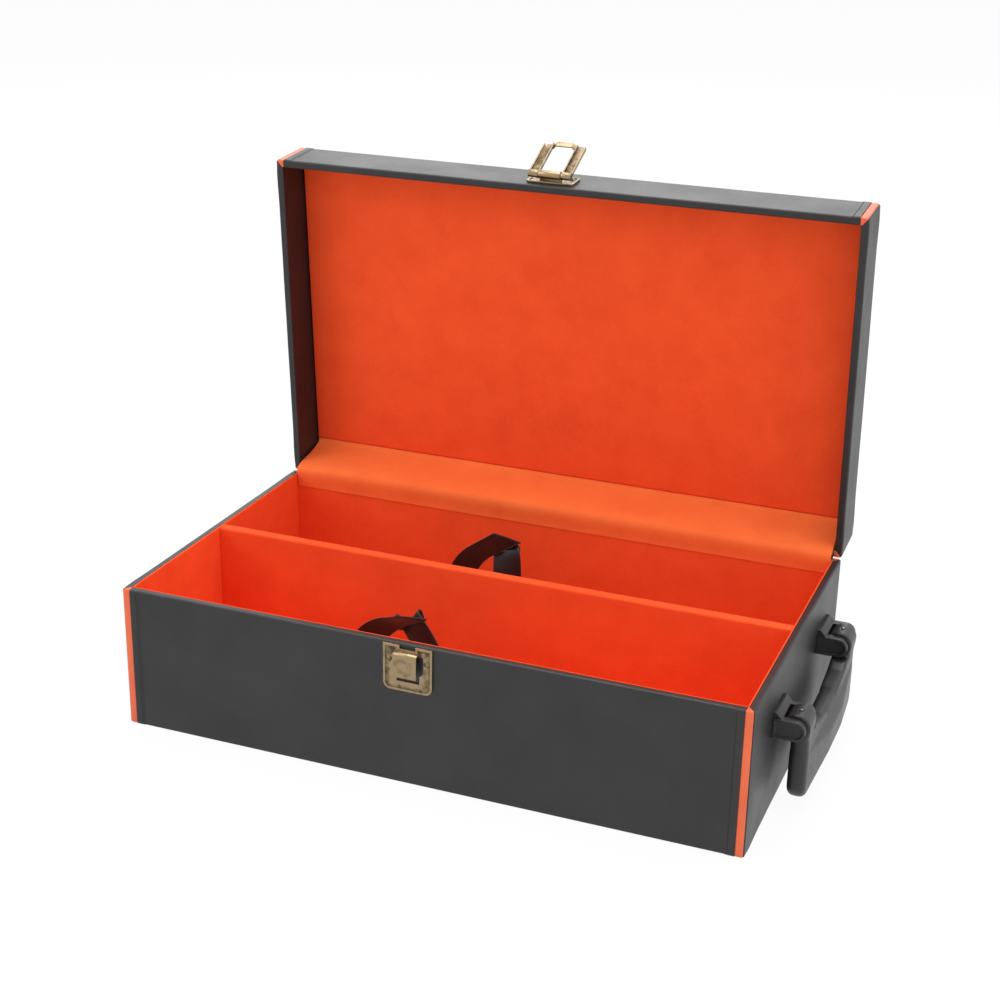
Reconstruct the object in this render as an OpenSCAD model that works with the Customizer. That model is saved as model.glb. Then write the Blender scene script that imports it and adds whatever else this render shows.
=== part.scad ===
// Two-bottle carrying case: thin boards covered in leather, a lid on a leather hinge that stands open,
// a brass hasp with a folding loop, two long bottle bays and a moulded handle on the right end.
// X runs along the length, Y to the back and Z up. The origin is under the middle of the base.

/* [Case] */
// Outside length
case_len = 350; // [320:1:400]
// Outside width, front to back
case_wid = 200; // [180:1:240]
// Height of the base, floor to rim
base_h = 81.3; // [76:0.1:110]
// Height of the lid, rim to top
lid_h = 31.2; // [27:0.1:45]
// Angle that the lid stands open
lid_open = 86; // [75:1:95]
// Gap left between the rims when the lid is shut
rim_gap = 0.3; // [0.2:0.1:0.6]
// Radius of the upright corners
corner_r = 1.6; // [1.3:0.1:3]

/* [Walls] */
// Thickness of the leather
leather_t = 0.8; // [0.6:0.1:1.1]
// Thickness of the base's boards
board_t = 3.2; // [2.4:0.1:5]
// Thickness of the base's lining
lining_t = 0.8; // [0.5:0.1:1.2]
// Thickness of the lid's wall boards
lid_board_t = 2.6; // [2:0.1:4]
// Thickness of the padded panel under the lid's top
panel_t = 2; // [1.5:0.1:4]
// Play between the lid's walls and its panel
panel_play = 0.3; // [0.2:0.1:1]
// Thickness of the board in the divider
divider_t = 5; // [3:0.1:8]

/* [Trim] */
// How far an end cover wraps onto the front and back
wrap_w = 1.5; // [1:0.1:4]
// Width of a coloured corner strip
strip_w = 4; // [2:0.5:8]
// Thickness of a corner strip
strip_t = 0.5; // [0.3:0.1:0.6]
// Width of a strip's point at the rim's inner corner
strip_tip = 0.8; // [0.4:0.1:1.5]
// Width of the folded edge beside a strip
fold_w = 5; // [3:0.5:9]
// Height that the folded edge stands up
fold_t = 0.4; // [0.2:0.1:0.8]

/* [Hinge] */
// Reach of the hinge leather on each wall
flap_reach = 18; // [12:1:26]
// Thickness of the lining band that crosses the hinge
band_t = 1.4; // [0.8:0.1:2]
// Depth of the band's seat below the rim
band_root = 8; // [5:0.5:14]
// Height of the band's upper edge on the lid's panel
band_rise = 12.6; // [10:0.1:16]
// Swell of the band into the case
band_swell = 3; // [1:0.1:5]
// Gap at each end of the band
band_end_gap = 0.3; // [0.2:0.1:2]

/* [Catch] */
// Place of the latch along the front
latch_x = -5.5; // [-100:0.5:100]
// Width of the catch plate
catch_w = 27.4; // [26:0.1:34]
// Height of the catch plate
catch_h = 25.8; // [23:0.1:32]
// Drop from the rim to the catch plate
catch_drop = 0.7; // [0.3:0.1:2]
// Radius of the catch plate's lower corners
catch_r = 4; // [2:0.5:8]
// Thickness of the brass sheet
sheet_t = 0.8; // [0.6:0.1:1]
// Width of the bead round both plates
bead_w = 1.2; // [0.8:0.1:1.8]
// Height of the bead
bead_h = 0.4; // [0.2:0.1:0.6]
// Width of the notch in the catch plate's upper edge
notch_w = 8.9; // [5:0.1:11]
// Depth of the notch
notch_d = 2; // [1.4:0.1:2.4]
// Width of the hook tab
tab_w = 12.6; // [8:0.1:13]
// Drop from the rim to the tab's shoulder
tab_drop = 3.7; // [3.2:0.1:4.5]
// Height of the tab
tab_h = 13.8; // [10:0.1:15]
// Reach of the tab's face from the case
tab_out = 4.8; // [3.8:0.1:5]
// Thickness of the tab
tab_t = 1; // [0.6:0.1:1.2]
// Radius of the tab's rolled shoulder
tab_r = 2; // [1.4:0.1:2.4]
// Distance of each nail from the middle of the plates
nail_x = 10.5; // [9.5:0.1:10.8]
// Drop from the rim to the catch plate's nails
catch_nail_drop = 9.3; // [6:0.1:16]
// Radius of a nail's shank
nail_r = 0.6; // [0.4:0.05:0.8]
// Radius of a nail's head
nail_head_r = 1.6; // [1.2:0.1:2]
// Height of a nail's head
nail_head_h = 0.9; // [0.5:0.1:1.2]
// Play round a nail's shank
nail_play = 0.03; // [0.01:0.01:0.1]

/* [Hasp] */
// Width of the hasp plate
hasp_w = 28; // [26:0.1:36]
// Height of the hasp plate
hasp_h = 14; // [12:0.1:18]
// Height of the hasp plate's lower edge above the lid's rim
hasp_z = 5; // [2:0.1:6]
// Radius of the hasp plate's corners
hasp_r = 2; // [1:0.5:4]
// Height of the loop's pin above the lid's rim
pin_z = 6.5; // [6.2:0.1:7]
// Reach of the pin's centre from the lid's wall
pin_out = 5; // [4.8:0.1:6]
// Radius of the pin
pin_r = 1.2; // [0.8:0.05:1.3]
// Running play of the loop on its pin
pin_play = 0.05; // [0.02:0.01:0.1]
// Width of the barrel that holds the pin
barrel_w = 13; // [8:0.1:13.2]
// Outer radius of the barrel
barrel_r = 2.4; // [2.1:0.05:2.8]
// Height of the hasp plate's nails above the lid's rim
hasp_nail_z = 15; // [11:0.1:16]
// Width of the loop
loop_w = 25.4; // [22:0.1:27]
// Reach of the loop from its pin
loop_reach = 28.5; // [28.4:0.1:32]
// Width of the opening in the loop
loop_gap = 13.6; // [13.5:0.1:15]
// Width of the loop's far bar
loop_bar = 4.1; // [2.5:0.1:4.1]
// Thickness of the loop across its folded sides
loop_t = 2.2; // [1.6:0.1:2.6]
// Thickness of the loop's sheet
loop_sheet_t = 0.7; // [0.5:0.05:0.8]
// Outer radius of the loop's eyes
eye_r = 2.2; // [1.9:0.05:2.6]
// Depth of the crank in the far bar
crank_d = 2.2; // [1.2:0.1:2.4]
// Chamfer on the loop's far corners
loop_chamfer = 2; // [0.5:0.1:3]
// Angle that the loop is raised from the lid's wall
loop_raise = 22; // [5:1:60]

/* [Handle mounts] */
// Place of the handle's middle along the end
handle_y = 6; // [-20:1:20]
// Distance between the handle's two pins
handle_span = 103; // [90:1:120]
// Height of the pins
pivot_z = 51.5; // [46:0.5:58]
// Reach of the pins from the end of the case
pivot_out = 11.5; // [11:0.1:13]
// Rise of a mount's foot above the pins
mount_rise = 8.5; // [7.5:0.1:10]
// Radius of a mount's cheeks
cheek_r = 5.3; // [5:0.1:5.6]
// Thickness of a cheek
cheek_t = 4; // [3:0.1:6]
// Width of the slot between the cheeks
slot_w = 15; // [12:0.1:18]
// Thickness of a mount's foot behind the slot
mount_t = 1.8; // [1.2:0.1:2]
// Thickness of the webs over and under the slot's back
web_t = 2.4; // [1.5:0.1:3]
// Play between those webs and a head of the handle
web_play = 0.4; // [0.2:0.1:0.8]
// Width of the raised bead on a cheek's face
cheek_bead = 1.4; // [0.8:0.1:2]
// Height of that bead
cheek_bead_h = 0.8; // [0.4:0.1:1.2]
// Radius of a handle pin
handle_pin_r = 1.5; // [1.2:0.1:2]
// Thickness of a cheek left closed over a pin's end
pin_cap = 1.2; // [0.8:0.1:2]
// Running play of the handle on its pins
handle_play = 0.06; // [0.03:0.01:0.1]
// Radius of a mount screw's shank
screw_r = 1.1; // [0.8:0.1:1.5]
// Distance of each mount screw from the middle of its mount
screw_y = 9.4; // [9:0.1:9.8]
// Radius of a mount screw's head
screw_head_r = 2.2; // [1.6:0.1:2.6]
// Height of a mount screw's head
screw_head_h = 1.4; // [1:0.1:2]
// Length of a mount screw
screw_len = 9; // [7:0.5:12]

/* [Handle] */
// Radius of a handle's head round its pin
head_r = 7; // [6:0.1:7.2]
// Play of a head between its cheeks, each side
head_play = 0.3; // [0.2:0.1:1]
// Distance from the pins to the shoulders under the cheeks
neck_len = 7; // [6.5:0.1:8]
// Distance from the pins to the grip's upper edge
grip_top = 12; // [11:0.5:16]
// Height of the grip
grip_h = 30; // [26:0.5:34]
// Thickness of the handle
handle_t = 10; // [9:0.5:13]
// Set of the handle's back towards the case from the pins' line
handle_set = 3.3; // [2:0.1:4]
// Swell of the grip's outer face
grip_swell = 3.5; // [0:0.5:6]
// Radius of the grip's lower corners
grip_corner = 8; // [5:0.5:12]
// Reach of a leg's outer side past the middle of its head
leg_flare = 7.2; // [6.6:0.1:9]
// Reach of a shoulder's inner side past the middle of its head
leg_inside = 15; // [12:0.5:20]
// Reach of the soft corner between a leg and the grip, past the middle of its head
leg_sweep = 42; // [30:0.5:44]
// Radius of the handle's moulded edges
grip_edge = 3.5; // [2:0.5:4.5]
// Wall of the hollow behind the grip
grip_wall = 2.6; // [2:0.1:4]
// Thickness of a rib in that hollow
rib_t = 1.8; // [1.2:0.1:3]
// Number of cells between the ribs
cells = 7; // [3:1:11]
// Radius of the stud in the top of each head
stud_r = 1; // [0.6:0.1:1.4]
// Depth of a stud in its head
stud_depth = 2; // [1:0.5:3]
// Height that a stud stands up
stud_h = 0.4; // [0.2:0.1:0.8]
// Angle of a stud from upright, away from the case
stud_tilt = 2; // [0:1:20]

/* [Ribbons] */
// Width of a bottle ribbon
ribbon_w = 16.5; // [10:0.5:20]
// Thickness of a ribbon
ribbon_t = 0.6; // [0.4:0.1:1]
// Length of the ribbon's glued foot
foot_len = 12; // [8:1:20]
// Slant of a ribbon's cut end, each side of its middle
tip_slant = 3.5; // [0:0.5:4.5]
// Gap left between a ribbon's foot and the lining
foot_gap = 0.05; // [0.02:0.01:0.2]

/* [Hidden] */

black = "#3d3d3e";
orange = "#de5a34";
pale_orange = "#ff9a5c";
brass = "#a08660";
wood = "#b28a5c";
plastic = "#464648";

// Length that cuts run past a face
over = 1;
// Inset of the legs' faces where they run into the grip, and of the grip's hollow from its corners
leg_inset = 0.2;
// Distances in from the outside to the boards' inner faces and to the linings' inner faces
rim_in = leather_t + board_t;
bay_in = rim_in + lining_t;
lid_in = 2 * leather_t + lid_board_t;
// Height of the base's boards above the floor, and of their tops
floor_z = leather_t + board_t;
board_top = base_h - leather_t;
lining_z = floor_z + lining_t;
// Heights in the lid, from its rim
lid_board_z = rim_gap + leather_t;
lid_roof_z = lid_h - leather_t - board_t;
lid_panel_z = lid_roof_z - panel_t;
trim_w = wrap_w + strip_w;
// Length of a handle pin, and the reach of the mounts' webs up to the handle's heads
pin_len = slot_w + 2 * (cheek_t - pin_cap);
web_out = pivot_out - sqrt(pow(head_r + web_play, 2) - pow(cheek_r - web_t, 2));
// Distances from the pins to the slices that round the corner between a leg and the grip
leg_bend = (neck_len + grip_top) / 2;
leg_end = grip_top + grip_edge / 2;
// Height of the ribbons' roots, inset of their feet's ends, and the part of a ribbon's run over which its
// end is slanted
root_z = lining_z + foot_gap;
foot_inset = 0.3;
tip_part = 0.2;
// Middle lines of the ribbons: points of a curve as parts of the case's length and width and the base's
// height, with y from the middle of the bay. Below each are its width's angles at the root and at the tip.
front_left_line = [[-0.177, -0.017, 0], [-0.177, -0.017, 0.855],
    [-0.088, -0.013, 0.817], [-0.071, -0.02, 0.895]];
front_left_turn = [21, 25];
front_right_line = [[-0.021, 0.008, 0], [-0.021, 0.008, 0.655],
    [-0.11, 0.044, 0.872], [-0.084, 0.043, 0.783]];
front_right_turn = [5, -24];
back_left_line = [[-0.119, -0.016, 0], [-0.119, -0.016, 0.847],
    [-0.094, -0.024, 0.821], [-0.024, -0.024, 1.03]];
back_left_turn = [38, 21];
back_right_line = [[-0.029, 0.009, 0], [-0.029, 0.009, 1.234],
    [-0.041, 0.039, 0.737], [-0.04, 0.042, 0.899]];
back_right_turn = [42, -56];
divider_w = divider_t + 2 * lining_t;

// Placing

// Draws in the lid's own frame, which has the shut lid's rim at height nought
module in_lid() {
    translate([0, case_wid / 2, base_h]) rotate([-lid_open, 0, 0])
        translate([0, -case_wid / 2, 0]) children();
}

// Turns a flat shape of the YZ plane into a slab of width w, centred on X
module across(w) {
    translate([-w / 2, 0, 0]) rotate([90, 0, 90]) linear_extrude(w) children();
}

// Turns a flat shape of the XZ plane into a slab of width w, centred on Y
module along(w) {
    translate([0, w / 2, 0]) rotate([90, 0, 0]) linear_extrude(w) children();
}

// Lays a flat shape on the front wall, with its thickness towards the front
module on_front(z) {
    translate([latch_x, -case_wid / 2, z]) rotate([90, 0, 0]) children();
}

// Draws a flat shape in a corner of the plan, with x and y measured inwards from the corner
module corner(sx, sy) {
    translate([sx * case_len / 2, sy * case_wid / 2])
        mirror([sx > 0 ? 1 : 0, 0]) mirror([0, sy > 0 ? 1 : 0]) children();
}

// Plans and regions

module rounded_rect(x, y, r) {
    square([x - 2 * r, y], center = true);
    square([x, y - 2 * r], center = true);
    for (sx = [-1, 1], sy = [-1, 1]) translate([sx * (x / 2 - r), sy * (y / 2 - r)]) circle(r, $fn = 48);
}

// Outline of the case, drawn in by d
module plan(d) {
    if (corner_r > d) rounded_rect(case_len - 2 * d, case_wid - 2 * d, corner_r - d);
    else square([case_len - 2 * d, case_wid - 2 * d], center = true);
}

// Ring between two insets
module ring(d1, d2) {
    difference() { plan(d1); plan(d2); }
}

// Part of the plan that belongs to one end cover, for walls w thick
module end_region(sx, w) {
    for (sy = [-1, 1]) corner(sx, sy)
        polygon([[-over, -over], [wrap_w, -over], [wrap_w, 0], [w - strip_tip / 2, w], [w, w],
            [w, case_wid / 2 + over], [-over, case_wid / 2 + over]]);
}

// Part of the plan that belongs to the front or back cover
module long_region(sy, w) {
    for (sx = [-1, 1]) corner(sx, sy)
        polygon([[trim_w, -over], [case_len / 2 + over, -over], [case_len / 2 + over, w],
            [w + strip_tip / 2, w], [trim_w, 0]]);
}

// Part of the plan that belongs to the four corner strips
module strip_region(w) {
    for (sx = [-1, 1], sy = [-1, 1]) corner(sx, sy)
        polygon([[wrap_w, -over], [trim_w, -over], [trim_w, 0], [w + strip_tip / 2, w],
            [w - strip_tip / 2, w], [wrap_w, 0]]);
}

// Leather

// Skin of thickness t on the base's walls, turned over the rim
module base_skin(t) {
    linear_extrude(board_top) intersection() { ring(leather_t - t, leather_t); children(); }
    translate([0, 0, board_top]) linear_extrude(t)
        intersection() { ring(leather_t - t, rim_in); children(); }
}

// Skin of thickness t on the lid's walls, turned over the rim and, where inside is true, up the inside
module lid_skin(t, inside = true) {
    edge = leather_t - t;
    translate([0, 0, lid_board_z]) {
        linear_extrude(lid_h - leather_t - lid_board_z) intersection() { ring(edge, leather_t); children(); }
        if (inside) linear_extrude(lid_roof_z - lid_board_z)
            intersection() { ring(lid_in - leather_t, lid_in); children(); }
    }
    translate([0, 0, lid_board_z - t]) linear_extrude(t)
        intersection() { ring(edge, lid_in - edge); children(); }
}

// Folded edges at both ends of a front or back cover
module folded_edges(sy, z, h) {
    for (sx = [-1, 1])
        translate([sx * (case_len / 2 - trim_w - fold_w / 2) - fold_w / 2,
            sy * (case_wid / 2 + fold_t / 2) - fold_t / 2, z]) cube([fold_w, fold_t, h]);
}

// Holes for two nails through the front wall, at height z of the plates' middle
module nail_holes(z, r, depth) {
    on_front(z) for (sx = [-1, 1]) translate([sx * nail_x, 0, -depth])
        cylinder(depth + over, r = r, $fn = 32);
}

module nails(z, depth) {
    on_front(z) for (sx = [-1, 1]) translate([sx * nail_x, 0, 0]) {
        translate([0, 0, -depth]) cylinder(depth + sheet_t, r = nail_r, $fn = 32);
        translate([0, 0, sheet_t]) intersection() {
            translate([0, 0, nail_head_h - dome_r(nail_head_r, nail_head_h)])
                sphere(dome_r(nail_head_r, nail_head_h), $fn = 64);
            cylinder(nail_head_h + over, r = nail_head_r + over, $fn = 64);
        }
    }
}

// Radius of the ball whose cap has the base radius r and the height h
function dome_r(r, h) = (r * r + h * h) / (2 * h);

// Base

module bottom_board() {
    color(wood) translate([0, 0, leather_t]) linear_extrude(board_t) plan(leather_t);
}

module front_board() {
    color(wood) difference() {
        wall_board(-1);
        nail_holes(base_h - catch_nail_drop, nail_r + nail_play, rim_in);
    }
}

module back_board() {
    color(wood) wall_board(1);
}

// Front or back board of the base, which takes in both corners
module wall_board(sy) {
    translate([0, 0, floor_z]) linear_extrude(board_top - floor_z) intersection() {
        plan(leather_t);
        translate([-case_len / 2, sy > 0 ? case_wid / 2 - rim_in : -case_wid / 2])
            square([case_len, rim_in]);
    }
}

// End board of the base, between the front and back boards
module end_board(sx) {
    translate([sx > 0 ? case_len / 2 - rim_in : leather_t - case_len / 2, rim_in - case_wid / 2, floor_z])
        cube([board_t, case_wid - 2 * rim_in, board_top - floor_z]);
}

module left_board() {
    color(wood) end_board(-1);
}

module right_board() {
    color(wood) difference() {
        end_board(1);
        screw_shapes(nail_play);
    }
}

module bottom_cover() {
    color(black) linear_extrude(leather_t) plan(leather_t);
}

module front_cover() {
    color(black) difference() {
        union() {
            base_skin(leather_t) long_region(-1, rim_in);
            folded_edges(-1, 0, base_h);
        }
        nail_holes(base_h - catch_nail_drop, nail_r + nail_play, rim_in);
    }
}

module back_cover() {
    color(black) {
        linear_extrude(base_h - flap_reach) intersection() { ring(0, leather_t); long_region(1, rim_in); }
        folded_edges(1, 0, base_h - flap_reach);
    }
}

module left_cover() {
    color(black) base_skin(leather_t) end_region(-1, rim_in);
}

module right_cover() {
    color(black) difference() {
        base_skin(leather_t) end_region(1, rim_in);
        screw_shapes(nail_play);
    }
}

module base_strips() {
    color(orange) base_skin(strip_t) strip_region(rim_in);
}

module floor_lining() {
    color(orange) translate([0, 0, floor_z]) linear_extrude(lining_t) plan(rim_in);
}

// Lining of the front or back wall, h high above the floor's lining
module long_lining(sy, h) {
    translate([rim_in - case_len / 2, sy > 0 ? case_wid / 2 - bay_in : rim_in - case_wid / 2, lining_z])
        cube([case_len - 2 * rim_in, lining_t, h]);
}

module front_lining() {
    color(orange) long_lining(-1, base_h - lining_z);
}

module back_lining() {
    color(orange) long_lining(1, base_h - band_root - lining_z);
}

module end_lining(sx) {
    translate([sx > 0 ? case_len / 2 - bay_in : rim_in - case_len / 2, bay_in - case_wid / 2, lining_z])
        cube([lining_t, case_wid - 2 * bay_in, base_h - lining_z]);
}

module left_lining() {
    color(orange) end_lining(-1);
}

module right_lining() {
    color(orange) end_lining(1);
}

// Slab between the two end linings, from the floor's lining up to height z
module divider_slab(w, z) {
    translate([bay_in - case_len / 2, -w / 2, lining_z]) cube([case_len - 2 * bay_in, w, z - lining_z]);
}

module divider_board() {
    color(wood) divider_slab(divider_t, base_h - lining_t);
}

module divider_lining() {
    color(pale_orange) difference() {
        divider_slab(divider_w, base_h);
        translate([-over, 0, -over]) divider_slab(divider_t, base_h - lining_t + over);
        translate([over, 0, -over]) divider_slab(divider_t, base_h - lining_t + over);
    }
}

// Ribbons

// Point and its derivative on a cubic curve
function curve(p, t) = pow(1 - t, 3) * p[0] + 3 * t * pow(1 - t, 2) * p[1] + 3 * t * t * (1 - t) * p[2]
    + pow(t, 3) * p[3];
function slope(p, t) = 3 * pow(1 - t, 2) * (p[1] - p[0]) + 6 * t * (1 - t) * (p[2] - p[1])
    + 3 * t * t * (p[3] - p[2]);
function unit(v) = v / norm(v);

// Curve of a ribbon in the bay on side s
function in_bay(line, s) = [for (p = line)
    [p[0] * case_len, (s / 4 + p[1]) * case_wid, max(p[2] * base_h, root_z)]];

// Ribbon that stands on the floor at the curve's start and turns its width on the way to its slanted end
module ribbon(p, turn, steps = 18) {
    rows = [for (i = [0 : steps]) let (
            t = i / steps,
            run = unit(slope(p, t)),
            angle = turn[0] + (turn[1] - turn[0]) * t,
            level = [cos(angle), sin(angle), 0],
            wide = unit(level - (level * run) * run),
            flat = cross(run, wide),
            slant = max(0, 1 - (1 - t) / tip_part) * tip_slant)
        for (c = [[-1, -1], [1, -1], [1, 1], [-1, 1]])
            curve(p, t) + c[0] * ribbon_w / 2 * wide + c[1] * ribbon_t / 2 * flat + c[0] * slant * run];
    n = 4;
    sides = [for (i = [0 : steps - 1], k = [0 : n - 1]) let (a = n * i + k, b = n * i + (k + 1) % n)
        each [[a, b + n, b], [a, a + n, b + n]]];
    tip = n * steps;
    ends = [[0, 1, 2], [0, 2, 3], [tip + 2, tip + 1, tip], [tip + 3, tip + 2, tip]];
    polyhedron(rows, concat(sides, ends));
    // Glued foot
    foot_w = ribbon_w - 2 * foot_inset;
    translate(p[0]) rotate(turn[0]) translate([-foot_w / 2, 0, 0]) cube([foot_w, foot_len, ribbon_t]);
}

module front_left_ribbon() {
    color(black) ribbon(in_bay(front_left_line, -1), front_left_turn);
}

module front_right_ribbon() {
    color(black) ribbon(in_bay(front_right_line, -1), front_right_turn);
}

module back_left_ribbon() {
    color(black) ribbon(in_bay(back_left_line, 1), back_left_turn);
}

module back_right_ribbon() {
    color(black) ribbon(in_bay(back_right_line, 1), back_right_turn);
}

// Latch on the base

// Outline of the catch plate, drawn in by d, with the rim at height nought
module catch_outline(d) {
    w = catch_w / 2 - d;
    top = -catch_drop - d;
    low = -catch_drop - catch_h + d;
    r = max(catch_r - d, 0.5);
    translate([-w, low + r]) square([2 * w, top - low - r]);
    translate([r - w, low]) square([2 * (w - r), r + over]);
    for (sx = [-1, 1]) translate([sx * (w - r), low + r]) circle(r, $fn = 48);
}

module catch_notch(d) {
    translate([-notch_w / 2 - d, -catch_drop - notch_d - d]) square([notch_w + 2 * d, notch_d + d + over]);
}

// Side view of the hook tab, with y up and x towards the case
module tab_profile() {
    translate([tab_r - tab_out, -tab_drop - tab_t]) square([tab_out - tab_r, tab_t]);
    translate([tab_r - tab_out, -tab_drop - tab_r]) intersection() {
        difference() { circle(tab_r, $fn = 64); circle(tab_r - tab_t, $fn = 64); }
        translate([-2 * tab_r, 0]) square(2 * tab_r);
    }
    translate([-tab_out, tab_t / 2 - tab_drop - tab_h]) square([tab_t, tab_h - tab_r - tab_t / 2]);
    translate([tab_t / 2 - tab_out, tab_t / 2 - tab_drop - tab_h]) circle(tab_t / 2, $fn = 32);
}

module catch_plate() {
    color(brass) difference() {
        union() {
            on_front(base_h) {
                linear_extrude(sheet_t) difference() { catch_outline(0); catch_notch(0); }
                translate([0, 0, sheet_t]) linear_extrude(bead_h) difference() {
                    catch_outline(0);
                    difference() { catch_outline(bead_w); catch_notch(bead_w); }
                    catch_notch(0);
                }
            }
            translate([latch_x, -case_wid / 2, base_h]) across(tab_w) tab_profile();
        }
        // Window that the tab's metal was folded from
        on_front(base_h) translate([-tab_w / 2, -tab_drop - tab_h, -over])
            cube([tab_w, tab_h - 2 * tab_t, 2 * sheet_t + over]);
        nail_holes(base_h - catch_nail_drop, nail_r + nail_play, rim_in);
    }
}

module catch_nails() {
    color(brass) nails(base_h - catch_nail_drop, rim_in);
}

// Handle and its mounts

module on_pivots(sides = [-1, 1]) {
    for (s = sides)
        translate([case_len / 2 + pivot_out, handle_y + s * handle_span / 2, pivot_z]) children();
}

// Countersunk screws that run from the end board's inner face into the cheeks, grown by play for their holes
module screw_shapes(play) {
    on_pivots() for (s = [-1, 1]) translate([-pivot_out - rim_in, s * screw_y, 0]) rotate([0, 90, 0]) {
        cylinder(screw_len, r = screw_r + play, $fn = 32);
        cylinder(screw_head_h, r1 = screw_head_r + play, r2 = screw_r + play, $fn = 32);
    }
}

// Side view of a cheek, drawn in by d
module cheek_profile(d) {
    r = cheek_r - d;
    circle(r, $fn = 64);
    translate([d - pivot_out, -r]) square([pivot_out - d, 2 * r]);
}

module handle_mount(s) {
    half = slot_w / 2 + cheek_t;
    color(plastic) difference() {
        on_pivots([s]) {
            for (k = [-1, 1]) {
                translate([0, k * (slot_w + cheek_t) / 2, 0]) along(cheek_t) cheek_profile(0);
                translate([0, k * (half + cheek_bead_h / 2), 0]) along(cheek_bead_h)
                    difference() { cheek_profile(0); cheek_profile(cheek_bead); }
            }
            // Foot against the case, with the webs over and under the back of the slot
            translate([-pivot_out, 0, 0]) along(2 * half) polygon([[0, -cheek_r], [web_out, -cheek_r],
                [web_out, web_t - cheek_r], [mount_t, web_t - cheek_r], [mount_t, cheek_r - web_t],
                [web_out, cheek_r - web_t], [web_out, cheek_r], [mount_t, mount_rise], [0, mount_rise]]);
        }
        on_pivots([s]) along(pin_len + 2 * nail_play) circle(handle_pin_r + nail_play, $fn = 48);
        screw_shapes(nail_play);
    }
}

module front_handle_mount() {
    handle_mount(-1);
}

module back_handle_mount() {
    handle_mount(1);
}

module handle_pins() {
    color(brass) on_pivots() along(pin_len) circle(handle_pin_r, $fn = 48);
}

module mount_screws() {
    color("silver") screw_shapes(0);
}

// Thin slice of a leg at height z, from a to b past the middle of its head, with its faces drawn in by d
module leg_slice(s, a, b, z, d = 0) {
    back = grip_edge + d - handle_set;
    front = handle_t - grip_edge - d - handle_set;
    for (x = [back, front], y = [a + grip_edge + d, b - grip_edge - d])
        translate([x, s * (handle_span / 2 + y), z]) cylinder(0.5, r = grip_edge, $fn = 24);
}

// Head and leg of the handle on one side
module leg(s) {
    head_w = slot_w - 2 * head_play;
    bend_in = leg_inside + (leg_sweep - leg_inside) / 5;
    hull() {
        translate([0, s * handle_span / 2, 0]) along(head_w) circle(head_r, $fn = 48);
        leg_slice(s, -head_w / 2, head_w / 2, -(neck_len + leg_bend) / 2, 2 * leg_inset);
    }
    hull() {
        leg_slice(s, -leg_inside, leg_flare, -neck_len, leg_inset);
        leg_slice(s, -bend_in, leg_flare, -leg_bend, leg_inset);
    }
    hull() {
        leg_slice(s, -bend_in, leg_flare, -leg_bend, leg_inset);
        leg_slice(s, -leg_sweep, leg_flare, -leg_end, leg_inset);
    }
}

// Rounded bar of the grip, with its broad lower corners and swollen outer face
module grip_bar() {
    half = handle_span / 2 + leg_flare;
    back = grip_edge - handle_set;
    front = handle_t - grip_edge - handle_set;
    hull() {
        for (x = [back, front], s = [-1, 1]) {
            translate([x, s * (half - grip_edge), -grip_top - grip_edge]) sphere(grip_edge, $fn = 24);
            translate([x, s * (half - grip_corner), grip_corner - grip_top - grip_h]) rotate([0, 90, 0])
                rotate_extrude($fn = 32) translate([grip_corner - grip_edge, 0]) circle(grip_edge, $fn = 16);
        }
        for (y = [-1, 1], z = [grip_h / 3, grip_h * 2 / 3])
            translate([front + grip_swell, y * half / 4, -grip_top - z]) sphere(grip_edge, $fn = 24);
    }
}

// Cells of the hollow on the grip's back, with a rib between each two
module grip_cells() {
    length = handle_span + 2 * (leg_flare - grip_corner - leg_inset);
    cell_w = (length - (cells - 1) * rib_t) / cells;
    for (i = [0 : cells - 1])
        translate([-handle_set - over, i * (cell_w + rib_t) - length / 2, grip_wall - grip_top - grip_h])
            cube([handle_t - grip_wall + over, cell_w, grip_h - 2 * grip_wall]);
}

module stud_shapes(play) {
    for (s = [-1, 1]) translate([0, s * handle_span / 2, 0]) rotate([0, stud_tilt, 0])
        translate([0, 0, head_r - stud_depth]) cylinder(stud_depth + stud_h, r = stud_r + play, $fn = 32);
}

module in_handle() {
    translate([case_len / 2 + pivot_out, handle_y, pivot_z]) children();
}

module handle() {
    color(plastic) in_handle() difference() {
        union() {
            leg(-1);
            leg(1);
            grip_bar();
        }
        grip_cells();
        stud_shapes(nail_play);
        along(handle_span + 4 * slot_w) circle(handle_pin_r + handle_play, $fn = 48);
    }
}

module handle_studs() {
    color("silver") in_handle() stud_shapes(0);
}

// Hinge

module hinge_leather() {
    color(black) translate([0, case_wid / 2, base_h]) across(case_len - 2 * trim_w) {
        translate([-leather_t, -flap_reach]) square([leather_t, flap_reach]);
        circle(leather_t, $fn = 48);
        rotate(-lid_open) translate([-leather_t, 0]) square([leather_t, flap_reach]);
    }
}

// Point of the lid's side view, from its distance to the hinge line and its height above the lid's rim
function lid_point(y, z) = [y * cos(lid_open) + z * sin(lid_open), z * cos(lid_open) - y * sin(lid_open)];

// Middle line of the band's side view, from its seat on the back wall over the hinge to the lid's panel
function band_points(steps = 12) =
    let (
        seat = -rim_in - band_t / 2,
        crest = [-1.5, 5.4],
        wall_part = [[seat, -band_root], [seat, -2], [seat - band_swell, 4.2], crest],
        lid_part = [crest, [7, 8.4], lid_point(5 - band_rise, lid_panel_z + band_t / 2),
            lid_point(-band_rise, lid_panel_z + band_t / 2)])
    concat([for (i = [0 : steps - 1]) [curve(wall_part, i / steps), unit(slope(wall_part, i / steps))]],
        [for (i = [0 : steps]) [curve(lid_part, i / steps), unit(slope(lid_part, i / steps))]]);

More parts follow.
